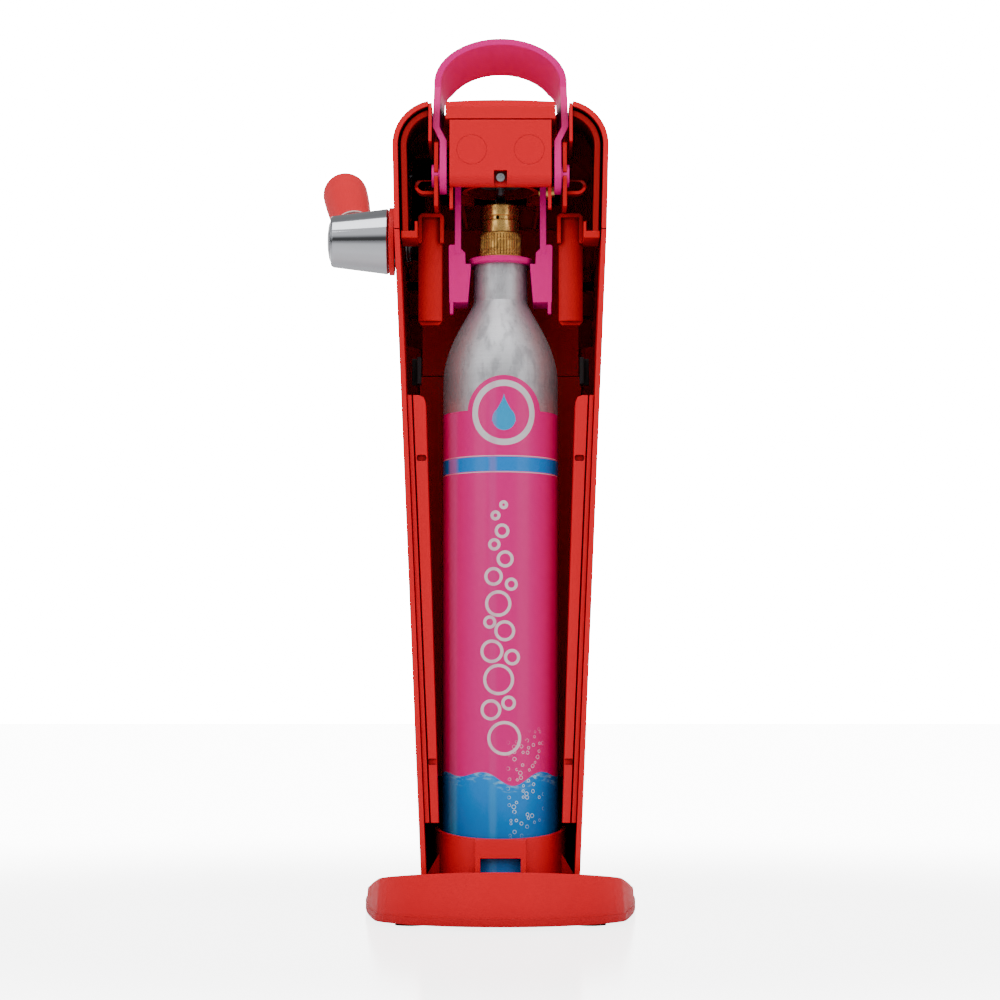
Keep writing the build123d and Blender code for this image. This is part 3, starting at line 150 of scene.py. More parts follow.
class Pattern:
    """Coordinates and noises of one material, in millimetres in the leaned column's own axes."""

    def __init__(self, tree: bpy.types.NodeTree) -> None:
        """Adds the coordinate nodes to a material's tree.

        Args:
            tree: the material's node tree.
        """
        self.tree = tree
        coords = add_node(tree, "ShaderNodeTexCoord")
        upright = add_node(
            tree,
            "ShaderNodeMapping",
            None,
            {
                "Vector": coords.outputs["Object"],
                "Rotation": (-LEAN, 0, 0),
                "Scale": (1 / MM, 1 / MM, 1 / MM),
            },
        )
        self.position = upright.outputs["Vector"]
        parts = add_node(tree, "ShaderNodeSeparateXYZ", None, {0: self.position})
        self.x, self.y, self.z = (Signal(tree, parts.outputs[i]) for i in range(3))

    def noise(self, feature_mm: float, detail: float = 3.0, stretch: tuple = (1, 1, 1)) -> Signal:
        """Makes cloudy noise.

        Args:
            feature_mm: rough width of a blob.
            detail: layers of finer noise in it.
            stretch: how many times longer the blobs are along each axis.

        Returns:
            The noise, from 0 to 1.
        """
        scale = add_node(
            self.tree,
            "ShaderNodeMapping",
            None,
            {"Vector": self.position, "Scale": tuple(1 / (feature_mm * s) for s in stretch)},
        )
        node = add_node(
            self.tree,
            "ShaderNodeTexNoise",
            None,
            {"Vector": scale.outputs[0], "Scale": 1.0, "Detail": detail, "Roughness": 0.55},
        )
        return Signal(self.tree, node.outputs["Fac"])

    def cells(self, vector: bpy.types.NodeSocket, cell_mm: float) -> tuple:
        """Scatters points, one to a cell.

        Args:
            vector: flat coordinates in mm.
            cell_mm: width of a cell.

        Returns:
            The distance to the nearest point in mm, and that point's random number.
        """
        node = add_node(
            self.tree,
            "ShaderNodeTexVoronoi",
            {"voronoi_dimensions": "2D"},
            {"Vector": vector, "Scale": 1 / cell_mm},
        )
        random = add_node(self.tree, "ShaderNodeSeparateColor", None, {0: node.outputs["Color"]})
        distance = Signal(self.tree, node.outputs["Distance"]) * cell_mm
        return distance, Signal(self.tree, random.outputs[0])

    def mix(
        self, factor: Signal, first: "str | bpy.types.NodeSocket", second: "str | bpy.types.NodeSocket"
    ) -> bpy.types.NodeSocket:
        """Mixes two colours.

        Args:
            factor: share of the second colour.
            first: hex colour or colour socket.
            second: hex colour or colour socket.

        Returns:
            The mixed colour's socket.
        """
        first, second = (linear(c) if isinstance(c, str) else c for c in (first, second))
        node = add_node(self.tree, "ShaderNodeMix", {"data_type": "RGBA"}, {0: factor, 6: first, 7: second})
        return node.outputs[2]

    def bump(
        self, height: Signal, depth_mm: float, normal: bpy.types.NodeSocket | None = None
    ) -> bpy.types.NodeSocket:
        """Tilts the surface by a height pattern.

        Args:
            height: the pattern.
            depth_mm: how deep a height of 1 is.
            normal: normal to start from, if not the surface's own.

        Returns:
            The bumped normal's socket.
        """
        inputs = {"Height": height, "Distance": depth_mm * MM, "Strength": 1.0}
        if normal is not None:
            inputs["Normal"] = normal
        return add_node(self.tree, "ShaderNodeBump", None, inputs).outputs["Normal"]

    def rounded(self, radius_mm: float) -> bpy.types.NodeSocket:
        """Returns a normal socket that rounds the edges by radius_mm."""
        return add_node(self.tree, "ShaderNodeBevel", {"samples": 4}, {"Radius": radius_mm * MM}).outputs[0]

    def openness(self, reach_mm: float) -> Signal:
        """Returns 1 where a surface is open and 0 deep inside a corner or hollow."""
        reach = {"Distance": reach_mm * MM}
        node = add_node(self.tree, "ShaderNodeAmbientOcclusion", {"samples": 6}, reach)
        return Signal(self.tree, node.outputs["AO"])


# ---------------------------------------------------------------- finishes
MADE: dict = {}                    # materials built so far, by name


@dataclass(frozen=True)
class Finish:
    """Base of every material: a name and the surface's broad settings."""

    name: str
    colour: str
    roughness: float = 0.3

    def material(self) -> bpy.types.Material:
        """Builds the material at first use and keeps it.

        Returns:
            The material.
        """
        if self.name in MADE:
            return MADE[self.name]
        made = MADE[self.name] = bpy.data.materials.new(self.name)
        made.use_nodes = True
        tree = made.node_tree
        tree.nodes.clear()
        shader = add_node(tree, "ShaderNodeBsdfPrincipled", None, self.surface(Pattern(tree)))
        add_node(tree, "ShaderNodeOutputMaterial", None, {"Surface": shader.outputs[0]})
        return made

    def surface(self, pattern: Pattern) -> dict:
        """Works out what the shader is given.

        Args:
            pattern: the material's coordinates and noises.

        Returns:
            Input name to constant, socket or Signal. What is the same all over is a constant.
        """
        raise NotImplementedError


@dataclass(frozen=True)
class Plastic(Finish):
    """Injection-moulded ABS, polycarbonate or nylon.

    It gives the eye one even colour with faint flow marks, a fine spark-eroded grain, soft edges, and
    painted shade in the hollows. The real grain is about 0.05 mm, too fine to show, so it is drawn coarser.
    """

    shade: str = "#700808"         # colour of the flow marks
    hollow: str = "#180000"        # colour of the painted shade deep in a corner
    hollow_shade_mm: float = 14.0        # how far the painted shade reaches into a hollow
    grain_mm: float = 0.35
    grain_depth_mm: float = 0.006
    flow_mm: float = 26.0          # width of a flow mark
    dust_mm: float = 0.9
    edge_mm: float = 0.5           # radius of a moulded edge
    gloss: float = 0.16            # specular level, low for a spark-eroded mould
    glow: float = 0.0              # light that goes through a clear-bodied plastic

    def surface(self, pattern: Pattern) -> dict:
        """Gives the shader flow marks, painted shade in the hollows, and grain.

        Args:
            pattern: the material's coordinates and noises.

        Returns:
            Input name to constant, socket or Signal.
        """
        flow = pattern.noise(self.flow_mm, 2, (1, 1, 2.5)).step(0.25, 0.8)
        dust = pattern.noise(self.dust_mm, 4)
        body = pattern.mix(flow * 0.16, self.colour, self.shade)
        # painted shade: where ambient occlusion finds the surface closed in, the base colour turns to the
        # hollow colour
        depth = pattern.openness(self.hollow_shade_mm).step(0.12, 0.78)
        grain = pattern.noise(self.grain_mm, 2)
        return {
            "Base Color": pattern.mix(depth, self.hollow, body),
            "Roughness": flow * 0.05 + dust * 0.10 + (self.roughness - 0.06),
            "Normal": pattern.bump(grain, self.grain_depth_mm, pattern.rounded(self.edge_mm)),
            "IOR": 1.53,
            "Specular IOR Level": self.gloss,
            "Subsurface Weight": self.glow,
            "Subsurface Radius": (0.004, 0.0012, 0.0016),
            "Subsurface Scale": 1.0,
        }


@dataclass(frozen=True)
class Chrome(Finish):
    """Chrome plate over a polished casting.

    It gives the eye a near mirror, with a breath of finger haze and faint polishing lines round it.
    """

    haze_mm: float = 9.0
    line_mm: float = 0.25
    edge_mm: float = 0.4

    def surface(self, pattern: Pattern) -> dict:
        """Gives the shader haze and polishing lines.

        Args:
            pattern: the material's coordinates and noises.

        Returns:
            Input name to constant, socket or Signal.
        """
        haze = pattern.noise(self.haze_mm, 4).step(0.45, 0.75)
        lines = pattern.noise(self.line_mm, 2, (0.5, 40, 40))
        return {
            "Base Color": linear(self.colour),
            "Roughness": haze * 0.06 + self.roughness,
            "Normal": pattern.bump(lines, 0.0006, pattern.rounded(self.edge_mm)),
            "Metallic": 1.0,
        }


@dataclass(frozen=True)
class DrawnAluminium(Finish):
    """Drawn and turned aluminium of a gas cylinder that has been refilled many times.

    It gives the eye a soft grey shine with fine lines up the body, rings where the shoulder was turned,
    pale scuffs, grey stains and small dents.
    """

    dirt: str = "#84848A"
    scuff: str = "#EDEDF0"
    draw_mm: float = 0.5           # drawing lines, long up the body
    ring_mm: float = 1.6           # turned rings, flat in height
    stain_mm: float = 5.0
    scuff_mm: float = 0.8
    speck_mm: float = 1.1
    dent_mm: float = 3.2

    def surface(self, pattern: Pattern) -> dict:
        """Gives the shader lines, rings, stains and scuffs.

        Args:
            pattern: the material's coordinates and noises.

        Returns:
            Input name to constant, socket or Signal.
        """
        drawn = pattern.noise(self.draw_mm, 3, (1, 1, 40))
        stains = pattern.noise(self.stain_mm, 5, (1, 1, 2.4)).step(0.42, 0.72)
        turned = pattern.noise(self.ring_mm, 3, (30, 30, 0.5))
        patches = pattern.noise(12, 2).step(0.45, 0.6)
        scuffs = pattern.noise(self.scuff_mm, 4, (5, 5, 0.6)).step(0.60, 0.72) * patches
        specks = pattern.noise(self.speck_mm, 2).step(0.66, 0.74)
        dents = pattern.noise(self.dent_mm, 3)
        colour = pattern.mix(stains * 0.45 + specks * 0.3 + turned * 0.15, self.colour, self.dirt)
        height = drawn * 0.35 + turned * 0.5 + dents + specks * 0.4 + scuffs * 0.5
        return {
            "Base Color": pattern.mix(scuffs * 0.5, colour, self.scuff),
            "Roughness": stains * 0.12 + drawn * 0.10 + turned * 0.08 + self.roughness,
            "Normal": pattern.bump(height, 0.05),
            "Metallic": 0.85,
        }


@dataclass(frozen=True)
class TurnedBrass(Finish):
    """Turned brass, with a cross-cut knurl on the collar.

    It gives the eye warm yellow metal with fine lathe rings, brown in the grooves and cloudy with tarnish.
    """

    tarnish: str = "#7A5426"
    groove: str = "#3A2208"
    ring_mm: float = 0.3
    tarnish_mm: float = 2.6
    knurl: bool = False
    knurl_r: float = 10.9          # radius of the knurled collar, mm
    knurl_turn: float = 3.6        # radians of ridge to a mm, which is a pitch of 1.75 mm
    band_z: float = 353.9          # plain band round the collar, mm up the column
    edge_z: tuple = (350.9, 356.9)    # the two grooves beside the band

    def surface(self, pattern: Pattern) -> dict:
        """Gives the shader rings or the knurl, and tarnish.

        Args:
            pattern: the material's coordinates and noises.

        Returns:
            Input name to constant, socket or Signal.
        """
        if self.knurl:
            height = self.knurled(pattern)
        else:
            height = pattern.noise(self.ring_mm, 2, (60, 60, 0.6)) * 0.25
        tarnish = pattern.noise(self.tarnish_mm, 4).step(0.4, 0.75)
        depth = pattern.openness(2.0).step(0.2, 0.9)
        colour = pattern.mix(tarnish * 0.6, self.colour, self.tarnish)
        return {
            "Base Color": pattern.mix(depth, self.groove, colour),
            "Roughness": tarnish * 0.18 + self.roughness,
            "Normal": pattern.bump(height, 0.12, pattern.rounded(0.3)),
            "Metallic": 0.95,
        }

    def knurled(self, pattern: Pattern) -> Signal:
        """Crosses two sets of slanting ridges, with a pitted plain band between two grooves.

        Args:
            pattern: the material's coordinates and noises.

        Returns:
            The height.
        """
        turn = pattern.y.op("ARCTAN2", pattern.x) * self.knurl_r
        rising = ((turn + pattern.z) * self.knurl_turn).op("SINE")
        falling = ((turn - pattern.z) * self.knurl_turn).op("SINE")
        band = pattern.z.near(self.band_z, 1.9, 0.2)
        low, high = (pattern.z.near(z, 0.25, 0.15) for z in self.edge_z)
        pits = pattern.noise(0.8, 1).step(0.55, 0.6) * band
        return (rising + falling) * 0.5 * band.inverse() - (low + high) * 1.5 + pits


@dataclass(frozen=True)
class ZincSteel(Finish):
    """Zinc-plated steel.

    It gives the eye cool grey metal with a cloudy spangle and fine scratches.
    """

    cloud: str = "#8E9298"
    spangle_mm: float = 3.0
    scratch_mm: float = 0.3

    def surface(self, pattern: Pattern) -> dict:
        """Gives the shader the spangle and scratches.

        Args:
            pattern: the material's coordinates and noises.

        Returns:
            Input name to constant, socket or Signal.
        """
        spangle = pattern.noise(self.spangle_mm, 4)
        scratch = pattern.noise(self.scratch_mm, 2, (1, 20, 1))
        return {
            "Base Color": pattern.mix(spangle, self.colour, self.cloud),
            "Roughness": spangle * 0.15 + self.roughness,
            "Normal": pattern.bump(scratch, 0.01, pattern.rounded(0.2)),
            "Metallic": 1.0,
        }


@dataclass(frozen=True)
class Rubber(Finish):
    """Moulded black rubber.

    It gives the eye a dull, slightly furry black with fine pimples and grey dust.
    """

    dust: str = "#4A4846"
    dust_mm: float = 4.0
    pimple_mm: float = 0.4

    def surface(self, pattern: Pattern) -> dict:
        """Gives the shader dust and pimples.

        Args:
            pattern: the material's coordinates and noises.

        Returns:
            Input name to constant, socket or Signal.
        """
        dust = pattern.noise(self.dust_mm, 5).step(0.45, 0.8)
        return {
            "Base Color": pattern.mix(dust * 0.35, self.colour, self.dust),
            "Roughness": dust * 0.1 + self.roughness,
            "Normal": pattern.bump(pattern.noise(self.pimple_mm, 3), 0.03, pattern.rounded(0.3)),
            "IOR": 1.5,
            "Sheen Weight": 0.15,
        }


@dataclass(frozen=True)
class PrintedSleeve(Finish):
    """Film printed and shrunk round the cylinder.

    It gives the eye a smooth pink field with a thin clear varnish, a blue band, a badge with a water drop,
    a column of rising bubbles, and blue water with foam at the foot, with a painted highlight streak and
    painted shade towards the sides. Heights are mm up the column, and places round it are mm from the
    middle of its open side.
    """

    radius_mm: float = 30.35
    deep_pink: str = "#D8047C"
    # dark pink of the painted shade towards the sleeve's sides
    painted_shade_pink: str = "#7C0238"
    # pale pink of the painted highlight streak
    painted_highlight_pink: str = "#D45C98"
    pale: str = "#EBD8DF"
    blue: str = "#0084DC"
    water: str = "#0086DC"
    deep_water: str = "#0072C4"
    # dark blue of the painted shade towards the sleeve's sides, over the water
    painted_shade_water: str = "#00426E"
    # pale blue of the painted highlight streak over the water
    painted_highlight_water: str = "#5CB6E0"
    band_low: float = 231.6
    band_top: float = 239.0
    keyline_gap: float = 0.5
    wave_z: float = 76.0
    fizz_cell: float = 3.4
    badge_place: float = -1.8
    badge_z: float = 262.0
    hoop_r: float = 15.4
    bubble_line: float = 0.75      # half the width of a bubble's outline
    bubbles: tuple = (             # place, height, radius
        (-2.0, 94.0, 8.0), (5.0, 108.5, 4.6), (-4.2, 112.0, 3.0), (1.0, 124.0, 7.2), (-6.0, 135.5, 3.4),
        (4.5, 138.5, 5.2), (-2.2, 149.0, 4.6), (5.6, 153.5, 2.6), (1.2, 163.0, 6.0), (-5.6, 173.0, 2.6),
        (3.6, 177.0, 4.0), (-2.4, 186.0, 3.6), (3.2, 193.5, 2.4), (-0.8, 200.5, 3.0), (2.6, 208.5, 1.8),
        (-1.6, 214.0, 1.5),
    )

    def surface(self, pattern: Pattern) -> dict:
        """Gives the shader the print, a painted highlight streak, painted shade towards the sides, and the
        film.

        Args:
            pattern: the material's coordinates and noises.

        Returns:
            Input name to constant, socket or Signal.
        """
        around = pattern.x.op("ARCTAN2", pattern.y) * self.radius_mm
        below = self.wave(around) - pattern.z
        water = below.step(-0.15, 0.15)
        fizz = self.fizz(pattern, around, below)
        colour = self.badge(pattern, around, self.pink_field(pattern, around))
        colour = pattern.mix(water, colour, self.sea(pattern, below, fizz))
        colour = pattern.mix(fizz * water.inverse(), colour, "#F0C8D8")
        # painted highlight: a bright vertical streak at 29 mm round the cylinder and a fainter one at 4 mm,
        # standing in for a soft box's reflection
        light = around.near(29.0, 1.6, 4.0) * 0.55 + around.near(4.0, 0.6, 2.5) * 0.22
        colour = pattern.mix(light, colour, pattern.mix(water, self.painted_highlight_pink, self.painted_highlight_water))
        # painted shade: the sleeve darkens beyond 34 mm from the middle of its open side, as the cylinder
        # turns away from the light
        edge = around.op("ABSOLUTE").step(34, 46) * 0.5
        colour = pattern.mix(edge, colour, pattern.mix(water, self.painted_shade_pink, self.painted_shade_water))
        film = pattern.noise(7, 4, (1, 1, 3))
        return {
            "Base Color": colour,
            "Roughness": film * 0.12 + self.roughness,
            "Normal": pattern.bump(film + pattern.noise(0.4, 2) * 0.1, 0.04),
            "Coat Weight": 0.15,
            "Coat Roughness": 0.12,
            "IOR": 1.5,
            "Specular IOR Level": 0.3,
        }

    def wave(self, around: Signal) -> Signal:
        """Draws the water's edge, a ripple with one dip in it.

        Args:
            around: place round the cylinder.

        Returns:
            The edge's height.
        """
        dip = ((around + 6.0) * 0.1).op("POWER", 2.0) * -1.0
        return dip.op("EXPONENT") * -5.0 + (around * 0.21).op("SINE") * 1.3 + self.wave_z

    def fizz(self, pattern: Pattern, around: Signal, below: Signal) -> Signal:
        """Scatters a cluster of tiny bubbles about the water's edge.

        Args:
            pattern: the material's coordinates and noises.
            around: place round the cylinder.
            below: depth under the water's edge.

        Returns:
            1 on the outlines of the bubbles.
        """
        flat = add_node(pattern.tree, "ShaderNodeCombineXYZ", None, {0: around, 1: pattern.z}).outputs[0]
        gap, seed = pattern.cells(flat, self.fizz_cell)
        outline = (gap - (seed * 0.75 + 0.25)).op("ABSOLUTE").step(0.24, 0.08)
        cluster = around.near(-14, 7, 5) * below.near(2, 16, 12)
        return outline * cluster * seed.step(0.35, 0.45)

    def sea(self, pattern: Pattern, below: Signal, fizz: Signal) -> bpy.types.NodeSocket:
        """Colours the water, deeper towards the foot, with foam under its edge.

        Args:
            pattern: the material's coordinates and noises.
            below: depth under the water's edge.
            fizz: the tiny bubbles.

        Returns:
            The water's colour socket.
        """
        ripple = pattern.noise(2.4, 4, (2.2, 2.2, 0.7)).step(0.46, 0.66)
        foam = below.near(0.9, 0.5, 1.0) * ripple + below.near(3.4, 0.5, 1.6) * ripple * 0.6
        sea = pattern.mix(below.step(2, 30), self.water, self.deep_water)
        sea = pattern.mix(foam * 0.85, sea, "#8FD0EC")
        return pattern.mix(fizz * 0.9, sea, "#D6F0FA")

    def pink_field(self, pattern: Pattern, around: Signal) -> bpy.types.NodeSocket:
        """Colours the pink field, its blue band between two pale lines, and the rising bubbles.

        Args:
            pattern: the material's coordinates and noises.
            around: place round the cylinder.

        Returns:
            The field's colour socket.
        """
        middle, half = (self.band_top + self.band_low) / 2, (self.band_top - self.band_low) / 2
        colour = pattern.mix(pattern.noise(18, 2) * 0.2, self.colour, self.deep_pink)
        colour = pattern.mix(pattern.z.near(middle, half, 0.1), colour, self.blue)
        above_band = pattern.z.near(self.band_top + self.keyline_gap, 0.16, 0.1)
        under_band = pattern.z.near(self.band_low - self.keyline_gap, 0.16, 0.1)
        colour = pattern.mix((above_band + under_band) * 0.8, colour, self.pale)
        column = None
        for place, height, radius in self.bubbles:
            ring = self.gap(pattern, around, place, height).near(radius, self.bubble_line, 0.12)
            column = ring if column is None else column.op("MAXIMUM", ring)
        return pattern.mix(column * 0.92, colour, self.pale)

    def badge(
        self, pattern: Pattern, around: Signal, under: bpy.types.NodeSocket
    ) -> bpy.types.NodeSocket:
        """Draws a pale hoop with a blue water drop in it.

        Args:
            pattern: the material's coordinates and noises.
            around: place round the cylinder.
            under: colour that the badge is printed on.

        Returns:
            The colour socket with the badge on it.
        """
        hoop = self.gap(pattern, around, self.badge_place, self.badge_z).near(self.hoop_r, 1.5, 0.2)
        above = pattern.z - self.badge_z
        taper = (above - 1.0).step(-6.5, 9.5) * -6.3 + 6.3
        point = ((around - self.badge_place).op("ABSOLUTE") - taper).step(0.2, -0.1)
        bulb = self.gap(pattern, around, self.badge_place, self.badge_z - 3.2).step(6.2, 5.9)
        drop = (point * above.near(2.6, 7.0, 0.3)).op("MAXIMUM", bulb)
        return pattern.mix(drop, pattern.mix(hoop * 0.95, under, "#DADADE"), "#18A0DC")

    def gap(self, pattern: Pattern, around: Signal, place: float, height: float) -> Signal:
        """Returns the distance in mm from a point on the sleeve."""
        across, above = around - place, pattern.z - height
        return (across * across + above * above).op("SQRT")


# red ABS: even tomato red, with painted shade where the machine's hollows are deep
RED = Plastic("red_abs_shell", "#E80A20", 0.50, shade="#CC0616", hollow="#220000", hollow_shade_mm=42)
RED_TRIM = Plastic(
    "red_abs_trim", "#E40A20", 0.46, shade="#C80616", hollow="#5A0004", hollow_shade_mm=9, gloss=0.18
)
# painted shade: these three reds are darker copies of the shell's red ABS, given to the inner walls, the
# bay and the head liner because those parts sit in shade
RED_SHADED_WALL = Plastic("red_abs_inner_shaded", "#D2040E", 0.48, shade="#B0020A", hollow="#500004", hollow_shade_mm=26)
RED_SHADED_BAY = Plastic("red_abs_bay_shaded", "#C8000C", 0.46, shade="#A80008", hollow="#C4000C", hollow_shade_mm=25)
RED_SHADED_LINER = Plastic("red_abs_liner_shaded", "#A80008", 0.48, shade="#7E0004", hollow="#080000", hollow_shade_mm=34)
# rubbery overmoulding on the grip: the same red with a coarser, softer grain
RED_GRIP = Plastic(
    "red_soft_grip", "#F00C24", 0.44, shade="#D00818", hollow="#500004", grain_depth_mm=0.012, gloss=0.3
)
# pink polycarbonate: light goes a little way in, so that it glows at the edges
PINK = Plastic(
    "pink_pc", "#EC0088", 0.44, shade="#D60074", hollow="#7A0040", hollow_shade_mm=9, gloss=0.14, glow=0.08
)
# uncoloured and black nylon of collar, chassis and tray
PALE = Plastic("pale_collar", "#E4DCD6", 0.34, shade="#C8BEB6", hollow="#403838", gloss=0.4)
DARK = Plastic("dark_nylon", "#201C1E", 0.50, shade="#161214", hollow="#040404")
CHROME = Chrome("chrome_plate", "#C4C6CC", 0.04)
ALUMINIUM = DrawnAluminium("drawn_aluminium", "#CBCCD0", 0.40)
BRASS = TurnedBrass("turned_brass", "#E4B668", 0.24)
KNURLED = TurnedBrass("knurled_brass", "#D2A256", 0.30, knurl=True)
STEEL = ZincSteel("zinc_steel", "#C8CCD0", 0.28)
RUBBER = Rubber("black_rubber", "#141414", 0.7)
SLEEVE = PrintedSleeve("printed_sleeve", "#E40280", 0.3)


# ---------------------------------------------------------------- geometry
def local(x: float, y: float, z: float) -> Vector:
    """Returns a point of the leaned column, given in mm in its own axes, in the row frame."""
    return Matrix.Rotation(LEAN, 3, "X") @ Vector((x, y, z)) * MM


def add_object(name: str, data: bpy.types.ID) -> bpy.types.Object:
    """Puts a mesh, lamp or camera in the scene.

    Args:
        name: the object's name.
        data: what the object shows.

    Returns:
        The new object.
    """
    made = bpy.data.objects.new(name, data)
    bpy.context.scene.collection.objects.link(made)
    return made


def mesh_piece(name: str, points: list, faces: list, finish: Finish, body: str) -> bpy.types.Object:
    """Makes a smooth-shaded mesh that rides on a body.

    Args:
        name: the piece's name.
        points: vertices in metres, in the row frame.
        faces: vertex indices.
        finish: the piece's finish.
        body: the CAD body it moves with.

    Returns:
        The new object.
    """
    mesh = bpy.data.meshes.new(name)
    mesh.from_pydata([tuple(p) for p in points], [], faces)
    mesh.validate()
    mesh.update()
    for polygon in mesh.polygons:
        polygon.use_smooth = True
    mesh.materials.append(finish.material())
    piece = add_object(name, mesh)
    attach(piece, body)
    LOG.info("%s: added in %s, rides on %s", name, finish.name, body)
    return piece


def lathe(
    name: str, profile: list, centre: Vector, axis: Vector, finish: Finish, body: str, facets: int
) -> bpy.types.Object:
    """Turns a closed (radius, height) outline in mm about an axis through centre.

    Args:
        name: the piece's name.
        profile: outline points, in order.
        centre: a point on the axis, in metres.
        axis: direction of the axis.
        finish: the piece's finish.
        body: the CAD body it moves with.
        facets: flat faces round the axis.

    Returns:
        The new object.
    """
    turn = Vector((0, 0, 1)).rotation_difference(axis).to_matrix()
    points, faces, count = [], [], len(profile)
    for step in range(facets):
        angle = 2 * math.pi * step / facets
        for radius, height in profile:
            flat = Vector((radius * math.cos(angle), radius * math.sin(angle), height)) * MM
            points.append(centre + turn @ flat)
        for index in range(count):
            a, b = step * count + index, step * count + (index + 1) % count
            c, d = (b + count) % (facets * count), (a + count) % (facets * count)
            faces.append((a, b, c, d))
    return mesh_piece(name, points, faces, finish, body)


# ---------------------------------------------------------------- sub-assemblies
@dataclass
class SubAssembly:
    """A group of CAD nodes with their finishes, and the small fittings added to it."""

    finishes: dict = field(default_factory=dict)

    def dress(self) -> None:
        """Puts each node's finish on it."""
        for node, finish in self.finishes.items():
            mesh = bpy.data.objects[node].data
            mesh.materials.clear()
            mesh.materials.append(finish.material())
            LOG.info("%s: dressed in %s", node, finish.name)

    def build(self) -> None:
        """Adds the sub-assembly's own fittings; most have none."""


@dataclass
class Foot(SubAssembly):
    """Foot, plate, pads, screws and drip tray."""

    finishes: dict = field(
        default_factory=lambda: {
            "foot_shell": RED,
            "foot_plate": DARK,
            "foot_screws": STEEL,
            "rubber_feet": RUBBER,
            "drip_tray": DARK,
            "drip_grille": DARK,
        }
    )


@dataclass
class Column(SubAssembly):
    """Column shell, bay walls, rails, cup and clips."""

    finishes: dict = field(
        default_factory=lambda: {
            "column_shell": RED,
            "spine_lower": RED_SHADED_BAY,
            "spine_upper": RED_SHADED_BAY,
            "cylinder_cup": RED_TRIM,
            "cover_clips": DARK,
            "rail_lever_side": RED_TRIM,
            "rail_far_side": RED_TRIM,
            "rail_trim_lever_side": RED_TRIM,
            "rail_trim_far_side": RED_TRIM,
        }
    )


@dataclass
class Head(SubAssembly):
    """Head shell, liner, cap, rear panel, brackets, chassis and what hangs from it."""

    finishes: dict = field(
        default_factory=lambda: {
            "head_shell": RED,
            "head_liner": RED_SHADED_LINER,
            "head_cap": RED_TRIM,
            "rear_panel": RED_TRIM,
            "panel_screw": STEEL,
            "pivot_bracket_lever_side": RED_SHADED_WALL,
            "pivot_bracket_far_side": RED_SHADED_WALL,
            "guide_panel_lever_side": RED_SHADED_WALL,
            "guide_panel_far_side": RED_SHADED_WALL,
            "shelf_ribs": RED_SHADED_WALL,
            "chassis": DARK,
            "chassis_screws": STEEL,
            "valve_seat": RED_SHADED_WALL,
            "seat_seal": RUBBER,
            "relief_valve": BRASS,
            "gas_hose": RUBBER,
            "nozzle_head": DARK,
        }
    )


@dataclass
class LockingHandle(SubAssembly):
    """The pink bail."""

    finishes: dict = field(default_factory=lambda: {"lock_handle": PINK})


@dataclass
class Carriage(SubAssembly):
    """The pink rods, bridge and hooks that lift the cylinder."""

    finishes: dict = field(
        default_factory=lambda: {
            "yoke_rods": PINK,
            "yoke_bridge": PINK,
            "yoke_hook_lever_side": PINK,
            "yoke_hook_far_side": PINK,
        }
    )


@dataclass
class GasCylinder(SubAssembly):
    """Aluminium cylinder with its sleeve, neck ring and brass valve."""

    finishes: dict = field(
        default_factory=lambda: {
            "cylinder_body": ALUMINIUM,
            "label_sleeve": SLEEVE,
            "neck_ring": PINK,
            "valve_collar": KNURLED,
            "valve_body": BRASS,
            "valve_pin": STEEL,
        }
    )


@dataclass
class CarbonatingLever(SubAssembly):
    """Chrome hub with its grip, and the shaft, cam and spring behind it."""

    finishes: dict = field(
        default_factory=lambda: {
            "lever_hub": CHROME,
            "hub_cap": CHROME,
            "lever_grip": RED_GRIP,
            "grip_collar": PALE,
            "lever_bush": RED_TRIM,
            "lever_shaft": STEEL,
            "lever_cam": DARK,
            "lever_spring": STEEL,
        }
    )


@dataclass
class GasPath(SubAssembly):
    """Rocker, plunger, nozzle, bottle collar and the clamps on the gas hose."""

    hose_r: float = 2.4            # outside of the hose, mm
    hose_z: float = 384.0          # its height at the valve seat
    seat_y: float = -25.0          # middle of the clamp at the seat
    nozzle_y: float = -90.0        # the nozzle's axis
    nozzle_z: float = 359.4        # middle of the clamp over the nozzle
    clamp_half: float = 2.6        # half the width of a clamp
    lip_wide: float = 0.5          # its rolled lips, and the slope down to the band
    slope_wide: float = 0.3
    clamp_gap: float = 0.02        # what its bore, band and lips stand off the hose
    band_off: float = 0.55
    lip_off: float = 0.85
    clamp_facets: int = 48
    finishes: dict = field(
        default_factory=lambda: {
            "rocker": DARK,
            "rocker_pin": STEEL,
            "plunger": STEEL,
            "plunger_spring": STEEL,
            "bottle_collar": DARK,
            "collar_pins": STEEL,
            "nozzle_seal": RUBBER,
            "nozzle_tube": DARK,
        }
    )

    def build(self) -> None:
        """Adds a crimped steel clamp at each end of the hose."""
        self.clamp("hose_clamp_seat", local(0, self.seat_y, self.hose_z), local(0, 1, 0))
        self.clamp("hose_clamp_nozzle", local(0, self.nozzle_y, self.nozzle_z), local(0, 0, 1))

    def clamp(self, name: str, centre: Vector, axis: Vector) -> None:
        """Adds one ear-type clamp: a rolled band with raised lips.

        Args:
            name: the piece's name.
            centre: middle of the band, in metres.
            axis: direction of the hose there.
        """
        inner, band, lip = (self.hose_r + off for off in (self.clamp_gap, self.band_off, self.lip_off))
        lip_end = self.clamp_half - self.lip_wide
        band_end = lip_end - self.slope_wide
        upper = [(band, band_end), (lip, lip_end), (lip, self.clamp_half), (inner, self.clamp_half)]
        lower = [(radius, -height) for radius, height in reversed(upper)]
        lathe(name, lower + upper, centre, axis.normalized(), STEEL, "frame", self.clamp_facets)


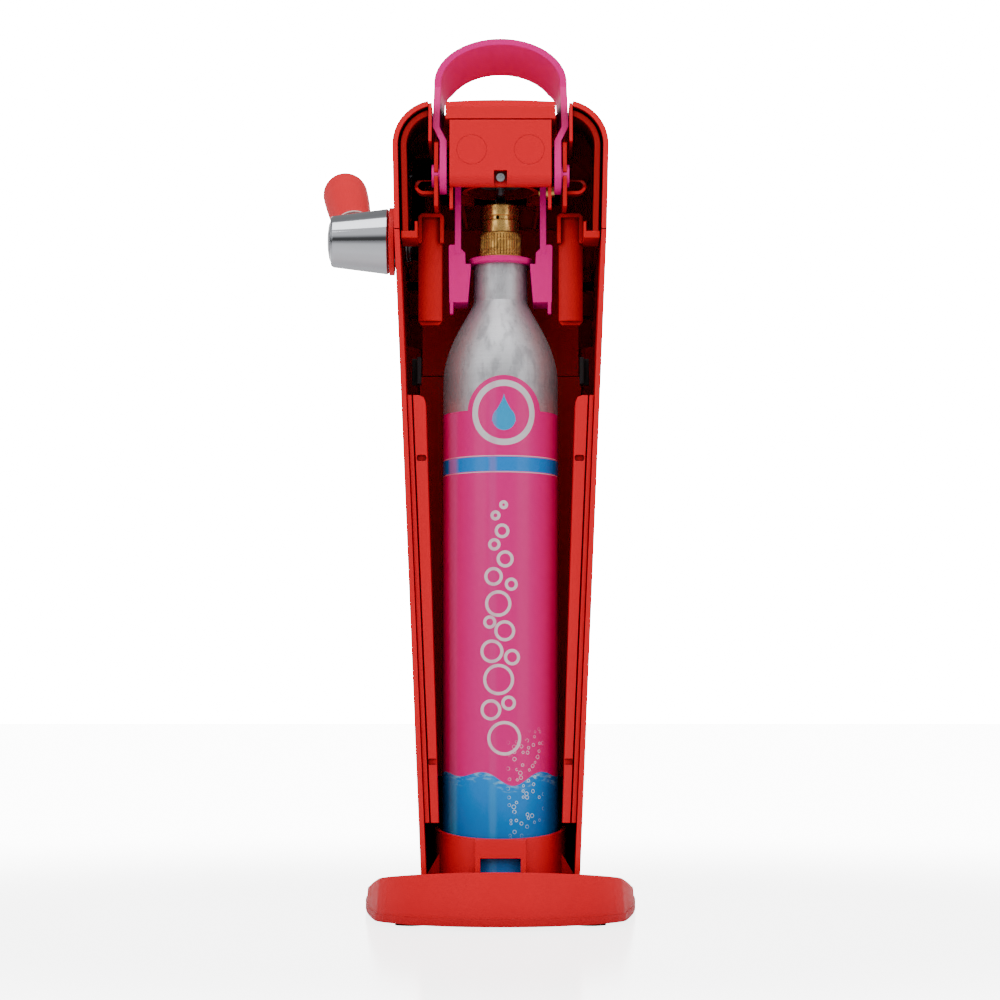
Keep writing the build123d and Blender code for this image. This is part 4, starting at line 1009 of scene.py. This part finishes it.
# ---------------------------------------------------------------- stage
class Lamp(Enum):
    """Soft boxes: place, target, width and height in metres, power in watts."""

    KEY = ((0.95, 1.15, 0.85), (0, 0, 0.25), 0.7, 1.1, 4.6)
    FILL = ((-1.1, 1.1, 0.7), (0, 0, 0.25), 0.7, 1.1, 4.0)
    TOP = ((0.0, 0.35, 1.25), (0, 0, 0.35), 0.9, 0.7, 6.0)
    LEFT_EDGE = ((0.9, -0.45, 0.35), (0, 0, 0.25), 0.25, 1.1, 2.0)
    RIGHT_EDGE = ((-0.9, -0.45, 0.35), (0, 0, 0.25), 0.25, 1.1, 2.0)


@dataclass
class Studio:
    """White surroundings, pale floor, soft boxes and the camera.

    Rays that come straight from the camera find the floor and the surroundings brighter than they light
    the object, so the ground stays white and the object keeps its own colours. No material on the object
    does so.
    """

    eye: tuple = (0.0, 1.565, 0.129)          # the camera's place, m
    pitch: float = math.radians(3.2814)       # how far it looks up
    lens: float = 108.0
    shift: float = -0.0005
    floor_half: float = 6.0                   # m
    pool_mm: tuple = (250, 900)               # the floor gets brighter between these distances
    floor_seen: float = 4.0                   # its brightness to the camera by the object
    floor_far: float = 6.0                    # what is added to that far out
    floor_light: float = 0.05                 # what it lights the object with
    panel: float = 3.0                        # bright panel behind the object
    panel_edge: tuple = (-0.93, -0.965)       # how far back a direction points at the panel's edge
    surround: float = 0.32
    front_edge: tuple = (-0.2, 0.4)           # where the surroundings give way to the sky in front
    sky_edge: tuple = (0.10, 0.40)            # how high a direction points where the sky brightens
    sky_low: float = 0.09
    sky_high: float = 0.85
    white_seen: float = 20.0                  # brightness of the surroundings to the camera

    def build(self) -> None:
        """Builds the floor, the surroundings, the lamps and the camera."""
        self.floor()
        self.surroundings()
        for lamp in Lamp:
            self.lamp(lamp)
        self.camera()

    def camera(self) -> None:
        """Sets up the camera behind the machine, where the cover is off."""
        camera = add_object("camera", bpy.data.cameras.new("camera"))
        camera.data.lens = self.lens
        camera.data.shift_x = self.shift
        camera.location = self.eye
        camera.rotation_euler = (math.pi / 2 + self.pitch, 0, math.pi)
        bpy.context.scene.camera = camera

    def floor(self) -> None:
        """Adds the pale satin floor, a little darker round the object than farther out."""
        half = self.floor_half
        mesh = bpy.data.meshes.new("floor")
        corners = [(-half, -half, 0), (half, -half, 0), (half, half, 0), (-half, half, 0)]
        mesh.from_pydata(corners, [], [(0, 1, 2, 3)])
        material = bpy.data.materials.new("pale_floor")
        material.use_nodes = True
        tree = material.node_tree
        tree.nodes.clear()
        pattern = Pattern(tree)
        seen = Signal(tree, add_node(tree, "ShaderNodeLightPath").outputs["Is Camera Ray"])
        away = (pattern.x * pattern.x + pattern.y * pattern.y).op("SQRT")
        glow = (away.step(*self.pool_mm) * self.floor_far + self.floor_seen) * seen + self.floor_light
        shader = add_node(
            tree,
            "ShaderNodeBsdfPrincipled",
            None,
            {
                "Base Color": linear("#F4F4F4"),
                "Roughness": pattern.noise(30, 3) * 0.04 + 0.12,
                "IOR": 1.6,
                "Emission Color": linear("#FFFFFF"),
                "Emission Strength": glow,
            },
        )
        add_node(tree, "ShaderNodeOutputMaterial", None, {"Surface": shader.outputs[0]})
        mesh.materials.append(material)
        add_object("floor", mesh)

    def lamp(self, lamp: Lamp) -> None:
        """Adds one soft box.

        Args:
            lamp: which one.
        """
        place, target, width, height, power = lamp.value
        light = bpy.data.lights.new(lamp.name.lower(), "AREA")
        light.shape = "RECTANGLE"
        light.size, light.size_y, light.energy = width, height, power
        holder = add_object(lamp.name.lower(), light)
        holder.location = place
        aim = Vector(target) - Vector(place)
        holder.rotation_euler = aim.to_track_quat("-Z", "Y").to_euler()

    def surroundings(self) -> None:
        """Puts a bright panel behind the object, and a dim room with a pale sky in front of it."""
        world = bpy.data.worlds.new("studio")
        world.use_nodes = True
        bpy.context.scene.world = world
        tree = world.node_tree
        tree.nodes.clear()
        coords = add_node(tree, "ShaderNodeTexCoord")
        parts = add_node(tree, "ShaderNodeSeparateXYZ", None, {0: coords.outputs["Generated"]})
        depth, height = Signal(tree, parts.outputs[1]), Signal(tree, parts.outputs[2])
        panel = depth.step(*self.panel_edge) * self.panel
        front = depth.step(*self.front_edge)
        sky = height.step(*self.sky_edge) * self.sky_high + self.sky_low
        seen = Signal(tree, add_node(tree, "ShaderNodeLightPath").outputs["Is Camera Ray"])
        room = front.inverse() * self.surround + front * sky
        shader = add_node(
            tree,
            "ShaderNodeBackground",
            None,
            {"Color": linear("#FFFFFF"), "Strength": panel + room + seen * self.white_seen},
        )
        add_node(tree, "ShaderNodeOutputWorld", None, {"Surface": shader.outputs[0]})


def main() -> None:
    """Dresses the frame, builds the fittings and the studio."""
    logging.basicConfig(level=logging.INFO, format="%(message)s")
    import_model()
    makers = (Foot, Column, Head, LockingHandle, Carriage, GasCylinder, CarbonatingLever, GasPath)
    for maker in makers:
        part = maker()
        part.dress()
        part.build()
    Studio().build()


if __name__ == "__main__":
    main()
